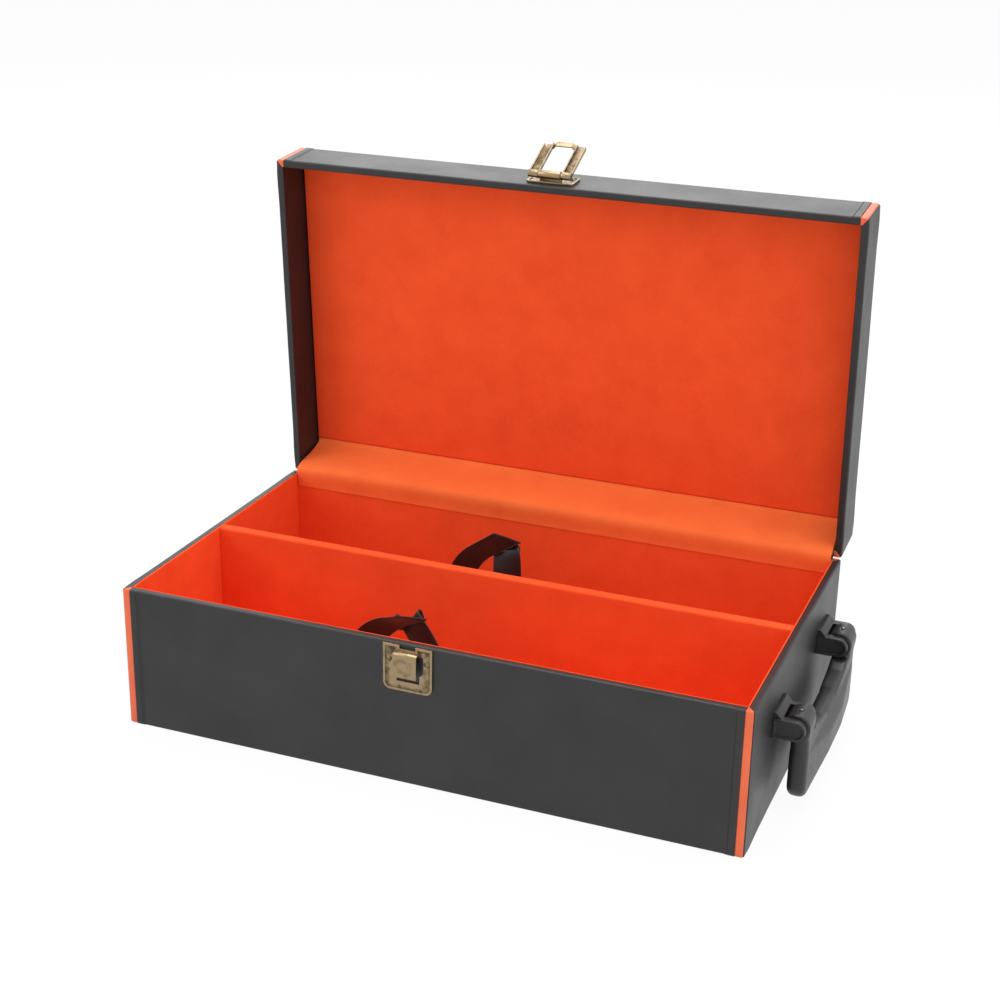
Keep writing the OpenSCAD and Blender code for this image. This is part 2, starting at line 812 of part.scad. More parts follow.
module hinge_lining() {
    line = band_points();
    count = len(line);
    side = [for (k = [-1, 1], i = [0 : count - 1]) let (p = line[k < 0 ? i : count - 1 - i])
        p[0] + k * band_t / 2 * [-p[1][1], p[1][0]]];
    color(pale_orange) translate([0, case_wid / 2, base_h])
        across(case_len - 2 * (bay_in + band_end_gap)) polygon(side);
}

// Lid

module lid_top_board() {
    color(wood) in_lid() translate([0, 0, lid_roof_z]) linear_extrude(board_t) plan(leather_t);
}

// Front or back board of the lid, which takes in both corners
module lid_wall_board(sy) {
    depth = leather_t + lid_board_t;
    translate([0, 0, lid_board_z]) linear_extrude(lid_roof_z - lid_board_z) intersection() {
        plan(leather_t);
        translate([-case_len / 2, sy > 0 ? case_wid / 2 - depth : -case_wid / 2]) square([case_len, depth]);
    }
}

module lid_end_board(sx) {
    depth = leather_t + lid_board_t;
    translate([sx > 0 ? case_len / 2 - depth : leather_t - case_len / 2, depth - case_wid / 2, lid_board_z])
        cube([lid_board_t, case_wid - 2 * depth, lid_roof_z - lid_board_z]);
}

module lid_front_board() {
    color(wood) in_lid() difference() {
        lid_wall_board(-1);
        nail_holes(hasp_nail_z, nail_r + nail_play, lid_in);
    }
}

module lid_back_board() {
    color(wood) in_lid() lid_wall_board(1);
}

module lid_left_board() {
    color(wood) in_lid() lid_end_board(-1);
}

module lid_right_board() {
    color(wood) in_lid() lid_end_board(1);
}

module lid_top_cover() {
    color(black) in_lid() translate([0, 0, lid_h - leather_t]) linear_extrude(leather_t) plan(0);
}

module lid_front_cover() {
    color(black) in_lid() difference() {
        union() {
            lid_skin(leather_t) long_region(-1, lid_in);
            folded_edges(-1, rim_gap, lid_h - rim_gap - leather_t);
        }
        nail_holes(hasp_nail_z, nail_r + nail_play, leather_t + over);
    }
}

module lid_back_cover() {
    color(black) in_lid() translate([0, 0, flap_reach]) linear_extrude(lid_h - leather_t - flap_reach)
        intersection() { ring(0, leather_t); long_region(1, lid_in); }
}

module lid_left_cover() {
    color(black) in_lid() lid_skin(leather_t) end_region(-1, lid_in);
}

module lid_right_cover() {
    color(black) in_lid() lid_skin(leather_t) end_region(1, lid_in);
}

module lid_strips() {
    color(orange) in_lid() lid_skin(strip_t, inside = false) strip_region(lid_in);
}

module lid_panel() {
    inset = lid_in + panel_play;
    color(orange) in_lid() translate([inset - case_len / 2, inset - case_wid / 2, lid_panel_z])
        cube([case_len - 2 * inset, case_wid - inset - band_rise, panel_t]);
}

// Hasp

module hasp_plate() {
    w = hasp_w;
    middle = hasp_z + hasp_h / 2;
    color(brass) in_lid() difference() {
        union() {
            on_front(middle) {
                linear_extrude(sheet_t) rounded_rect(w, hasp_h, hasp_r);
                translate([0, 0, sheet_t]) linear_extrude(bead_h) difference() {
                    rounded_rect(w, hasp_h, hasp_r);
                    rounded_rect(w - 2 * bead_w, hasp_h - 2 * bead_w, max(hasp_r - bead_w, 0.3));
                }
            }
            // Barrel folded from the plate, with its two layers laid back to the case
            translate([latch_x, -case_wid / 2, pin_z]) across(barrel_w) {
                translate([-pin_out, 0]) circle(barrel_r, $fn = 64);
                translate([-pin_out, barrel_r - 2 * sheet_t]) square([pin_out, 2 * sheet_t]);
            }
        }
        on_pin() across(barrel_w + 2 * over) circle(pin_r + nail_play, $fn = 48);
        nail_holes(hasp_nail_z, nail_r + nail_play, leather_t + over);
    }
}

module hasp_nails() {
    color(brass) in_lid() nails(hasp_nail_z, leather_t + lid_board_t);
}

module on_pin() {
    translate([latch_x, -case_wid / 2 - pin_out, pin_z]) children();
}

module hasp_pin() {
    color(brass) in_lid() on_pin() across(loop_w) circle(pin_r, $fn = 48);
}

// Outline of the loop, with z up from the pin and both far corners cut off
module loop_outline() {
    w = loop_w / 2;
    polygon([[-w, -eye_r], [w, -eye_r], [w, loop_reach - loop_chamfer], [w - loop_chamfer, loop_reach],
        [loop_chamfer - w, loop_reach], [-w, loop_reach - loop_chamfer]]);
}

// Section of the far bar, cranked in the middle towards the catch
module bar_profile() {
    w = loop_w / 2;
    near = loop_t / 2;
    inner = loop_gap / 2;
    polygon([[-w, near], [-inner, near],
        [-inner + crank_d, near - crank_d], [inner - crank_d, near - crank_d],
        [inner, near], [w, near], [w, near - loop_sheet_t], [inner, near - loop_sheet_t],
        [inner - crank_d, near - crank_d - loop_sheet_t], [crank_d - inner, near - crank_d - loop_sheet_t],
        [-inner, near - loop_sheet_t], [-w, near - loop_sheet_t]]);
}

module hasp_loop() {
    arm_w = (loop_w - loop_gap) / 2;
    color(brass) in_lid() on_pin() rotate([loop_raise, 0, 0]) difference() {
        intersection() {
            union() {
                for (s = [-1, 1]) translate([s * (loop_gap + arm_w) / 2, 0, 0]) {
                    across(arm_w) circle(eye_r, $fn = 64);
                    // Folded channel of the arm, open towards the catch when shut
                    linear_extrude(loop_reach) difference() {
                        square([arm_w, loop_t], center = true);
                        translate([0, -loop_sheet_t])
                            square([arm_w - 2 * loop_sheet_t, loop_t], center = true);
                    }
                }
                translate([0, 0, loop_reach - loop_bar]) linear_extrude(loop_bar) bar_profile();
            }
            along(4 * eye_r) loop_outline();
        }
        across(loop_w + 2 * over) circle(pin_r + pin_play, $fn = 48);
    }
}

bottom_board();
front_board();
back_board();
left_board();
right_board();
bottom_cover();
front_cover();
back_cover();
left_cover();
right_cover();
base_strips();
floor_lining();
front_lining();
back_lining();
left_lining();
right_lining();
divider_board();
divider_lining();
front_left_ribbon();
front_right_ribbon();
back_left_ribbon();
back_right_ribbon();
catch_plate();
catch_nails();
front_handle_mount();
back_handle_mount();
handle_pins();
mount_screws();
handle();
handle_studs();
hinge_leather();
hinge_lining();
lid_top_board();
lid_front_board();
lid_back_board();
lid_left_board();
lid_right_board();
lid_top_cover();
lid_front_cover();
lid_back_cover();
lid_left_cover();
lid_right_cover();
lid_strips();
lid_panel();
hasp_plate();
hasp_nails();
hasp_pin();
hasp_loop();
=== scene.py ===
import math

import bmesh
import bpy
import numpy as np
from mathutils import Matrix


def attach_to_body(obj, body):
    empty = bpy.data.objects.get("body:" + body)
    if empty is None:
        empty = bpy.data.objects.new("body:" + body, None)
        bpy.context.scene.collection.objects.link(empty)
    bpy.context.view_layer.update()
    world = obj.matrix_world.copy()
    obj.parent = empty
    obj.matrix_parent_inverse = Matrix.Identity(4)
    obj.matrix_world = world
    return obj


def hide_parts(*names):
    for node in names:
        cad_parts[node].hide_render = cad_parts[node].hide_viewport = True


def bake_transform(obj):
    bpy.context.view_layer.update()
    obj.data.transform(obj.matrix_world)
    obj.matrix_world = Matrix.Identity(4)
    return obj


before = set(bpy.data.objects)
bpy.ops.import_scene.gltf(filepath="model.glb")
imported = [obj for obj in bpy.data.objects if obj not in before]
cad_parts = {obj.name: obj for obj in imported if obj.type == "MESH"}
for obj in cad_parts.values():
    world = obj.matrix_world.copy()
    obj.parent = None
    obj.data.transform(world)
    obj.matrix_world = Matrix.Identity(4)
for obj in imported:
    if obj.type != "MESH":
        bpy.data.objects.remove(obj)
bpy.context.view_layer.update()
print("frame loaded")

# Sizes of the case in millimetres; the meshes are turned into metres as they are made
metre = 1000.0
case = {"length": 350.0, "width": 200.0, "baseHeight": 81.3, "lidHeight": 31.2, "lidOpen": 86.0,
        "corner": 1.6, "boards": 4.0, "lining": 0.8, "rimGap": 0.3, "backLeatherTop": 64.2,
        "lidBackLeatherTop": 13.6}

# Camera, floor and light

shot = {"place": (0.33505, -0.85355, 0.48858), "azimuth": 21.19, "elevation": 21.62, "roll": 1.14,
        "lens": 65.01, "sensor": 36.0, "nearest": 0.02}


def aimCamera(shot):
    azimuth, elevation, roll = (math.radians(shot[k]) for k in ("azimuth", "elevation", "roll"))
    back = np.array((math.sin(azimuth) * math.cos(elevation), -math.cos(azimuth) * math.cos(elevation),
                     math.sin(elevation)))
    right = np.array((math.cos(azimuth), math.sin(azimuth), 0.0))
    up = np.cross(back, right)
    side = math.cos(roll) * right + math.sin(roll) * up
    top = math.cos(roll) * up - math.sin(roll) * right
    data = bpy.data.cameras.new("camera")
    data.lens = shot["lens"]
    data.sensor_width = shot["sensor"]
    data.clip_start = shot["nearest"]
    camera = bpy.data.objects.new("camera", data)
    bpy.context.scene.collection.objects.link(camera)
    turned = np.column_stack((side, top, back, shot["place"]))
    camera.matrix_world = Matrix(turned.tolist() + [[0.0, 0.0, 0.0, 1.0]])
    bpy.context.scene.camera = camera


aimCamera(shot)
bpy.context.scene.view_settings.view_transform = "Standard"

studio = {"world": 0.62, "floorSize": 12.0, "floorDrop": 0.0002, "floorTone": 0.94, "floorGlow": 0.94,
          "lamps": [("overhead", (0.05, 0.25, 1.75), (0.0, 0.0, 0.05), 1.9, 30.0),
                    ("behind", (-0.5, 1.9, 1.15), (0.0, 0.1, 0.2), 1.6, 12.0),
                    ("left", (-1.35, -0.9, 1.1), (0.0, 0.0, 0.08), 1.1, 8.0),
                    ("right", (1.7, -0.35, 0.75), (0.1, 0.0, 0.08), 1.2, 7.0)]}


def addLamp(name, place, target, size, power):
    data = bpy.data.lights.new(name, "AREA")
    data.shape = "SQUARE"
    data.size = size
    data.energy = power
    lamp = bpy.data.objects.new(name, data)
    lamp.location = place
    away = np.array(place) - np.array(target)
    flat = math.hypot(away[0], away[1])
    lamp.rotation_euler = (math.atan2(flat, away[2]), 0.0, math.atan2(away[0], -away[1]))
    bpy.context.scene.collection.objects.link(lamp)


for lampValues in studio["lamps"]:
    addLamp(*lampValues)


def addNode(tree, kind, values=None, **settings):
    made = tree.nodes.new(kind)
    for key, value in settings.items():
        setattr(made, key, value)
    for key, value in (values or {}).items():
        made.inputs[key].default_value = value
    return made


def seenDirectly(tree):
    # 1 for rays that show the background itself, by eye, in a gloss or through glass
    path = addNode(tree, "ShaderNodeLightPath")
    first = addNode(tree, "ShaderNodeMath", operation="MAXIMUM")
    second = addNode(tree, "ShaderNodeMath", operation="MAXIMUM")
    tree.links.new(path.outputs["Is Camera Ray"], first.inputs[0])
    tree.links.new(path.outputs["Is Glossy Ray"], first.inputs[1])
    tree.links.new(first.outputs[0], second.inputs[0])
    tree.links.new(path.outputs["Is Transmission Ray"], second.inputs[1])
    return second.outputs[0]


def lightWorld(level):
    world = bpy.data.worlds.new("studio")
    bpy.context.scene.world = world
    world.use_nodes = True
    tree = world.node_tree
    tree.nodes.clear()
    soft = addNode(tree, "ShaderNodeBackground", {"Color": (1, 1, 1, 1), "Strength": level})
    white = addNode(tree, "ShaderNodeBackground", {"Color": (1, 1, 1, 1), "Strength": 1.0})
    mix = addNode(tree, "ShaderNodeMixShader")
    out = addNode(tree, "ShaderNodeOutputWorld")
    tree.links.new(seenDirectly(tree), mix.inputs[0])
    tree.links.new(soft.outputs[0], mix.inputs[1])
    tree.links.new(white.outputs[0], mix.inputs[2])
    tree.links.new(mix.outputs[0], out.inputs[0])


def layFloor(size, drop, tone, glow):
    corners = np.array([(-1, -1, 0), (1, -1, 0), (1, 1, 0), (-1, 1, 0)]) * size / 2 - (0, 0, drop)
    mesh = bpy.data.meshes.new("floor")
    mesh.from_pydata(corners.tolist(), [], [(0, 1, 2, 3)])
    floor = bpy.data.objects.new("floor", mesh)
    bpy.context.scene.collection.objects.link(floor)
    paint = bpy.data.materials.new("floor")
    paint.use_nodes = True
    tree = paint.node_tree
    tree.nodes.clear()
    matt = addNode(tree, "ShaderNodeBsdfDiffuse", {"Color": (tone, tone, tone, 1)})
    bright = addNode(tree, "ShaderNodeEmission", {"Color": (1, 1, 1, 1), "Strength": 1.0})
    share = addNode(tree, "ShaderNodeMath", operation="MULTIPLY")
    share.inputs[1].default_value = glow
    mix = addNode(tree, "ShaderNodeMixShader")
    out = addNode(tree, "ShaderNodeOutputMaterial")
    tree.links.new(seenDirectly(tree), share.inputs[0])
    tree.links.new(share.outputs[0], mix.inputs[0])
    tree.links.new(matt.outputs[0], mix.inputs[1])
    tree.links.new(bright.outputs[0], mix.inputs[2])
    tree.links.new(mix.outputs[0], out.inputs[0])
    mesh.materials.append(paint)


lightWorld(studio["world"])
layFloor(studio["floorSize"], studio["floorDrop"], studio["floorTone"], studio["floorGlow"])
print("camera, lamps and floor set")

# Materials


def newGroup(name, inputs, outputs):
    tree = bpy.data.node_groups.new(name, "ShaderNodeTree")
    for label, kind in inputs:
        tree.interface.new_socket(label, in_out="INPUT", socket_type=kind)
    for label, kind in outputs:
        tree.interface.new_socket(label, in_out="OUTPUT", socket_type=kind)
    return tree, addNode(tree, "NodeGroupInput"), addNode(tree, "NodeGroupOutput")


def calculate(tree, operation, first, second):
    made = addNode(tree, "ShaderNodeMath", operation=operation)
    for place, value in enumerate((first, second)):
        if isinstance(value, (int, float)):
            made.inputs[place].default_value = value
        else:
            tree.links.new(value, made.inputs[place])
    return made.outputs[0]


def spread(tree, value, low, high, newLow, newHigh):
    made = addNode(tree, "ShaderNodeMapRange", {"From Min": low, "From Max": high, "To Min": newLow,
                                                "To Max": newHigh})
    tree.links.new(value, made.inputs["Value"])
    return made.outputs["Result"]


def mixColours(tree, factor, first, second):
    made = addNode(tree, "ShaderNodeMix", data_type="RGBA")
    tree.links.new(factor, made.inputs[0])
    for place, value in ((6, first), (7, second)):
        if isinstance(value, tuple):
            made.inputs[place].default_value = (*value, 1.0)
        else:
            tree.links.new(value, made.inputs[place])
    return made.outputs[2]


def noise(tree, vector, scale, detail=2.0, roughness=0.5):
    made = addNode(tree, "ShaderNodeTexNoise", {"Detail": detail, "Roughness": roughness})
    tree.links.new(vector, made.inputs["Vector"])
    if isinstance(scale, (int, float)):
        made.inputs["Scale"].default_value = scale
    else:
        tree.links.new(scale, made.inputs["Scale"])
    return made.outputs["Fac"]


# Pebbled leather: rounded cells with creases between them, over a slow change of tone
pebbles = {"crease": 0.28, "height": 0.7, "fineScale": 2600.0, "fineHeight": 0.3, "toneScale": 34.0}
grainGroup, entry, leave = newGroup(
    "pebbledGrain", [("Vector", "NodeSocketVector"), ("Scale", "NodeSocketFloat")],
    [("Height", "NodeSocketFloat"), ("Tone", "NodeSocketFloat")])
cells = addNode(grainGroup, "ShaderNodeTexVoronoi", feature="DISTANCE_TO_EDGE")
grainGroup.links.new(entry.outputs["Vector"], cells.inputs["Vector"])
grainGroup.links.new(entry.outputs["Scale"], cells.inputs["Scale"])
pebble = spread(grainGroup, cells.outputs["Distance"], 0.0, pebbles["crease"], 0.0, pebbles["height"])
fineNoise = noise(grainGroup, entry.outputs["Vector"], pebbles["fineScale"], 3.0)
fineHeight = calculate(grainGroup, "MULTIPLY", fineNoise, pebbles["fineHeight"])
height = calculate(grainGroup, "ADD", pebble, fineHeight)
grainGroup.links.new(height, leave.inputs["Height"])
slowTone = noise(grainGroup, entry.outputs["Vector"], pebbles["toneScale"], 4.0)
grainGroup.links.new(slowTone, leave.inputs["Tone"])

# Napped cloth: short fibres that lie in brushed patches
napping = {"fibreScale": 3400.0, "brushScale": 42.0, "brushShare": 0.7, "speckleScale": 900.0}
napGroup, entry, leave = newGroup(
    "napped", [("Vector", "NodeSocketVector")], [("Height", "NodeSocketFloat"), ("Tone", "NodeSocketFloat")])
fibres = noise(napGroup, entry.outputs["Vector"], napping["fibreScale"], 2.0)
brushed = noise(napGroup, entry.outputs["Vector"], napping["brushScale"], 5.0, 0.62)
speckle = noise(napGroup, entry.outputs["Vector"], napping["speckleScale"], 2.0)
tone = calculate(napGroup, "ADD", calculate(napGroup, "MULTIPLY", brushed, napping["brushShare"]),
                 calculate(napGroup, "MULTIPLY", speckle, 1 - napping["brushShare"]))
napGroup.links.new(fibres, leave.inputs["Height"])
napGroup.links.new(tone, leave.inputs["Tone"])

# Cast or rolled surface: fine pits, and a slow change that finishes use for tarnish or polish
patchScale = 260.0
pitGroup, entry, leave = newGroup(
    "fineTexture", [("Vector", "NodeSocketVector"), ("Scale", "NodeSocketFloat")],
    [("Height", "NodeSocketFloat"), ("Patches", "NodeSocketFloat")])
pitGroup.links.new(noise(pitGroup, entry.outputs["Vector"], entry.outputs["Scale"], 3.0),
                   leave.inputs["Height"])
pitGroup.links.new(noise(pitGroup, entry.outputs["Vector"], patchScale, 5.0, 0.6), leave.inputs["Patches"])


def startFinish(name, group, scale=None):
    finish = bpy.data.materials.new(name)
    finish.use_nodes = True
    tree = finish.node_tree
    shader = tree.nodes["Principled BSDF"]
    coordinates = addNode(tree, "ShaderNodeTexCoord")
    made = addNode(tree, "ShaderNodeGroup", node_tree=group)
    tree.links.new(coordinates.outputs["Object"], made.inputs["Vector"])
    if scale is not None:
        made.inputs["Scale"].default_value = scale
    return finish, tree, shader, made


def addBump(tree, shader, heightSocket, distance, strength):
    bump = addNode(tree, "ShaderNodeBump", {"Distance": distance, "Strength": strength})
    tree.links.new(heightSocket, bump.inputs["Height"])
    tree.links.new(bump.outputs["Normal"], shader.inputs["Normal"])


def paintTones(tree, shader, value, limits, dark, light):
    # Colour that goes from dark to light while the value goes from the lower to the upper limit
    colour = mixColours(tree, spread(tree, value, *limits, 0.0, 1.0), dark, light)
    tree.links.new(colour, shader.inputs["Base Color"])


def leatherFinish(name, dark, light, rough, scale, depth):
    finish, tree, shader, grain = startFinish(name, grainGroup, scale)
    paintTones(tree, shader, grain.outputs["Tone"], (0.3, 0.7), dark, light)
    tree.links.new(spread(tree, grain.outputs["Tone"], 0.25, 0.75, rough[1], rough[0]),
                   shader.inputs["Roughness"])
    addBump(tree, shader, grain.outputs["Height"], depth, 0.6)
    return finish


def clothFinish(name, dark, light, rough, sheen, depth=0.0001):
    finish, tree, shader, nap = startFinish(name, napGroup)
    paintTones(tree, shader, nap.outputs["Tone"], (0.35, 0.65), dark, light)
    shader.inputs["Roughness"].default_value = rough
    shader.inputs["Specular IOR Level"].default_value = 0.2
    shader.inputs["Sheen Weight"].default_value = sheen
    shader.inputs["Sheen Roughness"].default_value = 0.5
    shader.inputs["Sheen Tint"].default_value = (*light, 1.0)
    addBump(tree, shader, nap.outputs["Height"], depth, 0.5)
    return finish


tarnish = {"edges": (0.46, 0.56), "edgeShare": 0.65, "patches": (0.36, 0.62), "patchShare": 0.55,
           "limits": (0.15, 0.85)}


def metalFinish(name, bright, dark, rough, scale, depth):
    # Bright where edges are rubbed and in polished patches, dark and duller in the hollows
    finish, tree, shader, pits = startFinish(name, pitGroup, scale)
    curve = addNode(tree, "ShaderNodeNewGeometry").outputs["Pointiness"]
    worn = spread(tree, curve, *tarnish["edges"], 0.0, 1.0)
    worn = calculate(tree, "MULTIPLY", worn, tarnish["edgeShare"])
    patches = spread(tree, pits.outputs["Patches"], *tarnish["patches"], 0.0, 1.0)
    patches = calculate(tree, "MULTIPLY", patches, tarnish["patchShare"])
    factor = spread(tree, calculate(tree, "ADD", worn, patches), *tarnish["limits"], 0.0, 1.0)
    tree.links.new(mixColours(tree, factor, dark, bright), shader.inputs["Base Color"])
    shader.inputs["Metallic"].default_value = 1.0
    tree.links.new(spread(tree, factor, 0.0, 1.0, rough[1], rough[0]), shader.inputs["Roughness"])
    addBump(tree, shader, pits.outputs["Height"], depth, 0.4)
    return finish


def plasticFinish(name, dark, light, rough, scale, depth):
    finish, tree, shader, pits = startFinish(name, pitGroup, scale)
    patches = pits.outputs["Patches"]
    paintTones(tree, shader, patches, (0.3, 0.7), dark, light)
    tree.links.new(spread(tree, patches, 0.3, 0.7, *rough), shader.inputs["Roughness"])
    addBump(tree, shader, pits.outputs["Height"], depth, 0.5)
    return finish


def ribbonFinish(name, dark, light, rough, sheen, threadScale, depth):
    # Satin: fine threads across the ribbon, read from its own map
    finish, tree, shader, nap = startFinish(name, napGroup)
    flat = addNode(tree, "ShaderNodeUVMap", uv_map="weave")
    threads = addNode(tree, "ShaderNodeTexWave", {"Scale": threadScale, "Distortion": 0.4, "Detail": 1.0},
                      bands_direction="Y")
    tree.links.new(flat.outputs["UV"], threads.inputs["Vector"])
    paintTones(tree, shader, nap.outputs["Tone"], (0.3, 0.7), dark, light)
    shader.inputs["Roughness"].default_value = rough
    shader.inputs["Sheen Weight"].default_value = sheen
    shader.inputs["Sheen Roughness"].default_value = 0.4
    addBump(tree, shader, threads.outputs["Fac"], depth, 0.5)
    return finish


def boardFinish(name, dark, light, rough, scale, depth):
    finish, tree, shader, pits = startFinish(name, pitGroup, scale)
    tree.links.new(mixColours(tree, pits.outputs["Height"], dark, light), shader.inputs["Base Color"])
    shader.inputs["Roughness"].default_value = rough
    addBump(tree, shader, pits.outputs["Height"], depth, 0.4)
    return finish


finishes = {
    "leather": leatherFinish("blackLeather", dark=(0.0085, 0.0085, 0.0088), light=(0.0135, 0.0135, 0.014),
                             rough=(0.4, 0.5), scale=1300.0, depth=0.00007),
    "strip": leatherFinish("orangeLeather", dark=(0.7, 0.105, 0.028), light=(0.78, 0.13, 0.038),
                           rough=(0.38, 0.48), scale=1500.0, depth=0.00004),
    "lining": clothFinish("orangeLining", dark=(0.81, 0.08, 0.017), light=(0.91, 0.102, 0.023), rough=0.9,
                          sheen=0.2),
    "panel": clothFinish("panelCloth", dark=(0.82, 0.078, 0.016), light=(0.92, 0.1, 0.022), rough=0.9,
                         sheen=0.2),
    # The hinge band is the lining's own cloth with painted light: its brighter, yellower tones paint in the
    # light from above that falls on its upturned face
    "band": clothFinish("hingeClothPaintedLight", dark=(0.9, 0.155, 0.035), light=(0.97, 0.19, 0.045), rough=0.85,
                        sheen=0.3),
    "brass_sheet": metalFinish("agedBrass", bright=(0.34, 0.25, 0.145), dark=(0.09, 0.062, 0.038),
                               rough=(0.3, 0.5), scale=1500.0, depth=0.00004),
    "brass_pins": metalFinish("agedPins", bright=(0.24, 0.18, 0.11), dark=(0.07, 0.048, 0.03),
                              rough=(0.3, 0.48), scale=1700.0, depth=0.00003),
    "steel": metalFinish("steel", bright=(0.2, 0.2, 0.205), dark=(0.07, 0.07, 0.072), rough=(0.3, 0.5),
                         scale=1700.0, depth=0.00002),
    "handle_plastic": plasticFinish("mouldedPlastic", dark=(0.012, 0.012, 0.0125), light=(0.02, 0.02, 0.021),
                                    rough=(0.34, 0.44), scale=1900.0, depth=0.00006),
    "ribbon": ribbonFinish("blackRibbon", dark=(0.003, 0.0032, 0.0038), light=(0.007, 0.0075, 0.009),
                           rough=0.42, sheen=0.1, threadScale=110.0, depth=0.00008),
    "board": boardFinish("fibreboard", dark=(0.36, 0.24, 0.13), light=(0.5, 0.36, 0.21), rough=0.85,
                         scale=1800.0, depth=0.0002),
    # Stitch thread: its own near-black, made darker than the leather with painted shade of the stitch
    # grooves
    "thread": plasticFinish("thread", dark=(0.004, 0.004, 0.004), light=(0.012, 0.012, 0.012),
                            rough=(0.5, 0.7), scale=4000.0, depth=0.00005),
}
print("materials made")

# Mesh helpers

meshing = {"weld": 1e-7, "copyWeld": 2e-6, "flatAngle": 0.6, "sharpAngle": 50.0}


def gridQuads(rows, columns):
    # The faces of a grid of points whose index runs along its rows
    index = np.arange(rows * columns).reshape(rows, columns)
    return np.stack((index[:-1, :-1], index[:-1, 1:], index[1:, 1:], index[1:, :-1]), -1).reshape(-1, 4)


def closedSlab(outer, inner):
    # Body between two grids of the same size, closed along their borders
    rows, columns = outer.shape[:2]
    count = rows * columns
    index = np.arange(count).reshape(rows, columns)
    border = np.concatenate((index[0], index[1:, -1], index[-1, -2::-1], index[-2:0:-1, 0]))
    after = np.roll(border, -1)
    sides = np.stack((border, border + count, after + count, after), -1)
    quads = gridQuads(rows, columns)
    points = np.concatenate((outer.reshape(-1, 3), inner.reshape(-1, 3)))
    return points, np.concatenate((quads[:, ::-1], quads + count, sides))


def putPiece(name, points, faces, finish, closed=True):
    mesh = bpy.data.meshes.new(name)
    mesh.from_pydata((points / metre).tolist(), [], faces.tolist())
    if closed:
        work = bmesh.new()
        work.from_mesh(mesh)
        bmesh.ops.remove_doubles(work, verts=work.verts, dist=meshing["weld"])
        bmesh.ops.recalc_face_normals(work, faces=work.faces)
        work.to_mesh(mesh)
        work.free()
    mesh.polygons.foreach_set("use_smooth", np.ones(len(mesh.polygons), bool))
    mesh.set_sharp_from_angle(angle=math.radians(meshing["sharpAngle"]))
    mesh.materials.append(finishes[finish])
    piece = bpy.data.objects.new(name, mesh)
    bpy.context.scene.collection.objects.link(piece)
    return piece


def sideNormals(path):
    # Directions square to a path in side view, to its left
    way = np.gradient(path, axis=0)
    way /= np.linalg.norm(way, axis=1)[:, None]
    return np.stack((-way[:, 1], way[:, 0]), -1)


def carryAlong(name, path, x, heights, finish, origin=(0.0, 0.0)):
    # Slab with this path as its side view, carried along x; its two faces stand off the path by heights
    out = sideNormals(path)
    grids = []
    for raised in heights:
        y = origin[0] + path[:, :1] + out[:, :1] * raised
        z = origin[1] + path[:, 1:2] + out[:, 1:2] * raised
        grids.append(np.stack(np.broadcast_arrays(x, y, z), -1))
    return putPiece(name, *closedSlab(*grids), finish)


def bezier(p, t):
    # Cubic curve through the first and last of four points, drawn towards the other two
    p = np.array(p, float)
    t = t[:, None]
    return (1 - t) ** 3 * p[0] + 3 * t * (1 - t) ** 2 * p[1] + 3 * t * t * (1 - t) * p[2] + t ** 3 * p[3]


def attach(piece, body, slotName, *nodes):
    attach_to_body(piece, body)
    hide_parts(*nodes)
    return piece


def openLid(points):
    # From the lid's own frame, with the shut lid's rim at height 0, to where the open lid stands
    turn = math.radians(case["lidOpen"])
    y = points[..., 1] - case["width"] / 2
    z = points[..., 2]
    return np.stack((points[..., 0], case["width"] / 2 + y * math.cos(turn) + z * math.sin(turn),
                     case["baseHeight"] - y * math.sin(turn) + z * math.cos(turn)), -1)


def onBase(points):
    return points


def fromLidTop(points):
    # Heights measured down from the lid's top, turned into the lid's own frame and opened
    flipped = points.copy()
    flipped[..., 2] = case["lidHeight"] - points[..., 2]
    return openLid(flipped)


def smoothStep(x, low, high):
    # From 0 to 1 between low and high, level at both ends
    t = np.clip((x - low) / (high - low), 0, 1)
    return t * t * (3 - 2 * t)


def edgeDrop(distance, radius):
    # How far a rounded edge lies below the face at a distance from its end
    t = np.clip(1 - distance / radius, 0, 1)
    return -radius * (1 - np.sqrt(1 - t * t * 0.98))


def waves(a, b, seed, size):
    # Slow unevenness: a sum of crossed sine waves, from -1 to 1
    made = np.sin(a / size + seed) * np.sin(b / (0.7 * size) + 2.1 * seed)
    made = made + 0.6 * np.sin(a / (0.43 * size) + 1.7 * seed) * np.sin(b / (0.37 * size) + 0.6 * seed)
    return (made + 0.35 * np.sin((a + b) / (0.21 * size) + 3.3 * seed)) / 1.95


# Leather on the walls

leatherWork = {"thickness": 0.75, "wrap": 0.0, "strip": 4.7, "tip": 0.8, "foldWidth": 5.0, "foldSlope": 0.5,
               "foldHeight": 0.35, "stitchLine": 4.0, "groove": 0.22, "grooveWidth": 0.22, "underTurn": 2.5,
               "outerRound": 1.1, "innerRound": 0.4, "edgeRound": 0.4, "leastRound": 0.3, "waves": 0.09,
               "endSwell": 0.35}
shells = {
    "base": {"wall": 4.0, "height": case["baseHeight"], "inside": 1.2, "place": onBase, "body": "base"},
    "lid": {"wall": 4.2, "height": case["lidHeight"] - case["rimGap"], "inside": 26.9, "place": fromLidTop,
            "body": "lid"},
}


def arcPoints(centre, radius, start, stop, count):
    angle = np.radians(np.linspace(start, stop, count))
    return np.stack((centre[0] + radius * np.cos(angle), centre[1] + radius * np.sin(angle)), -1)


def linePoints(first, last, count):
    t = np.linspace(0, 1, count)[:, None]
    return np.array(first) * (1 - t) + np.array(last) * t


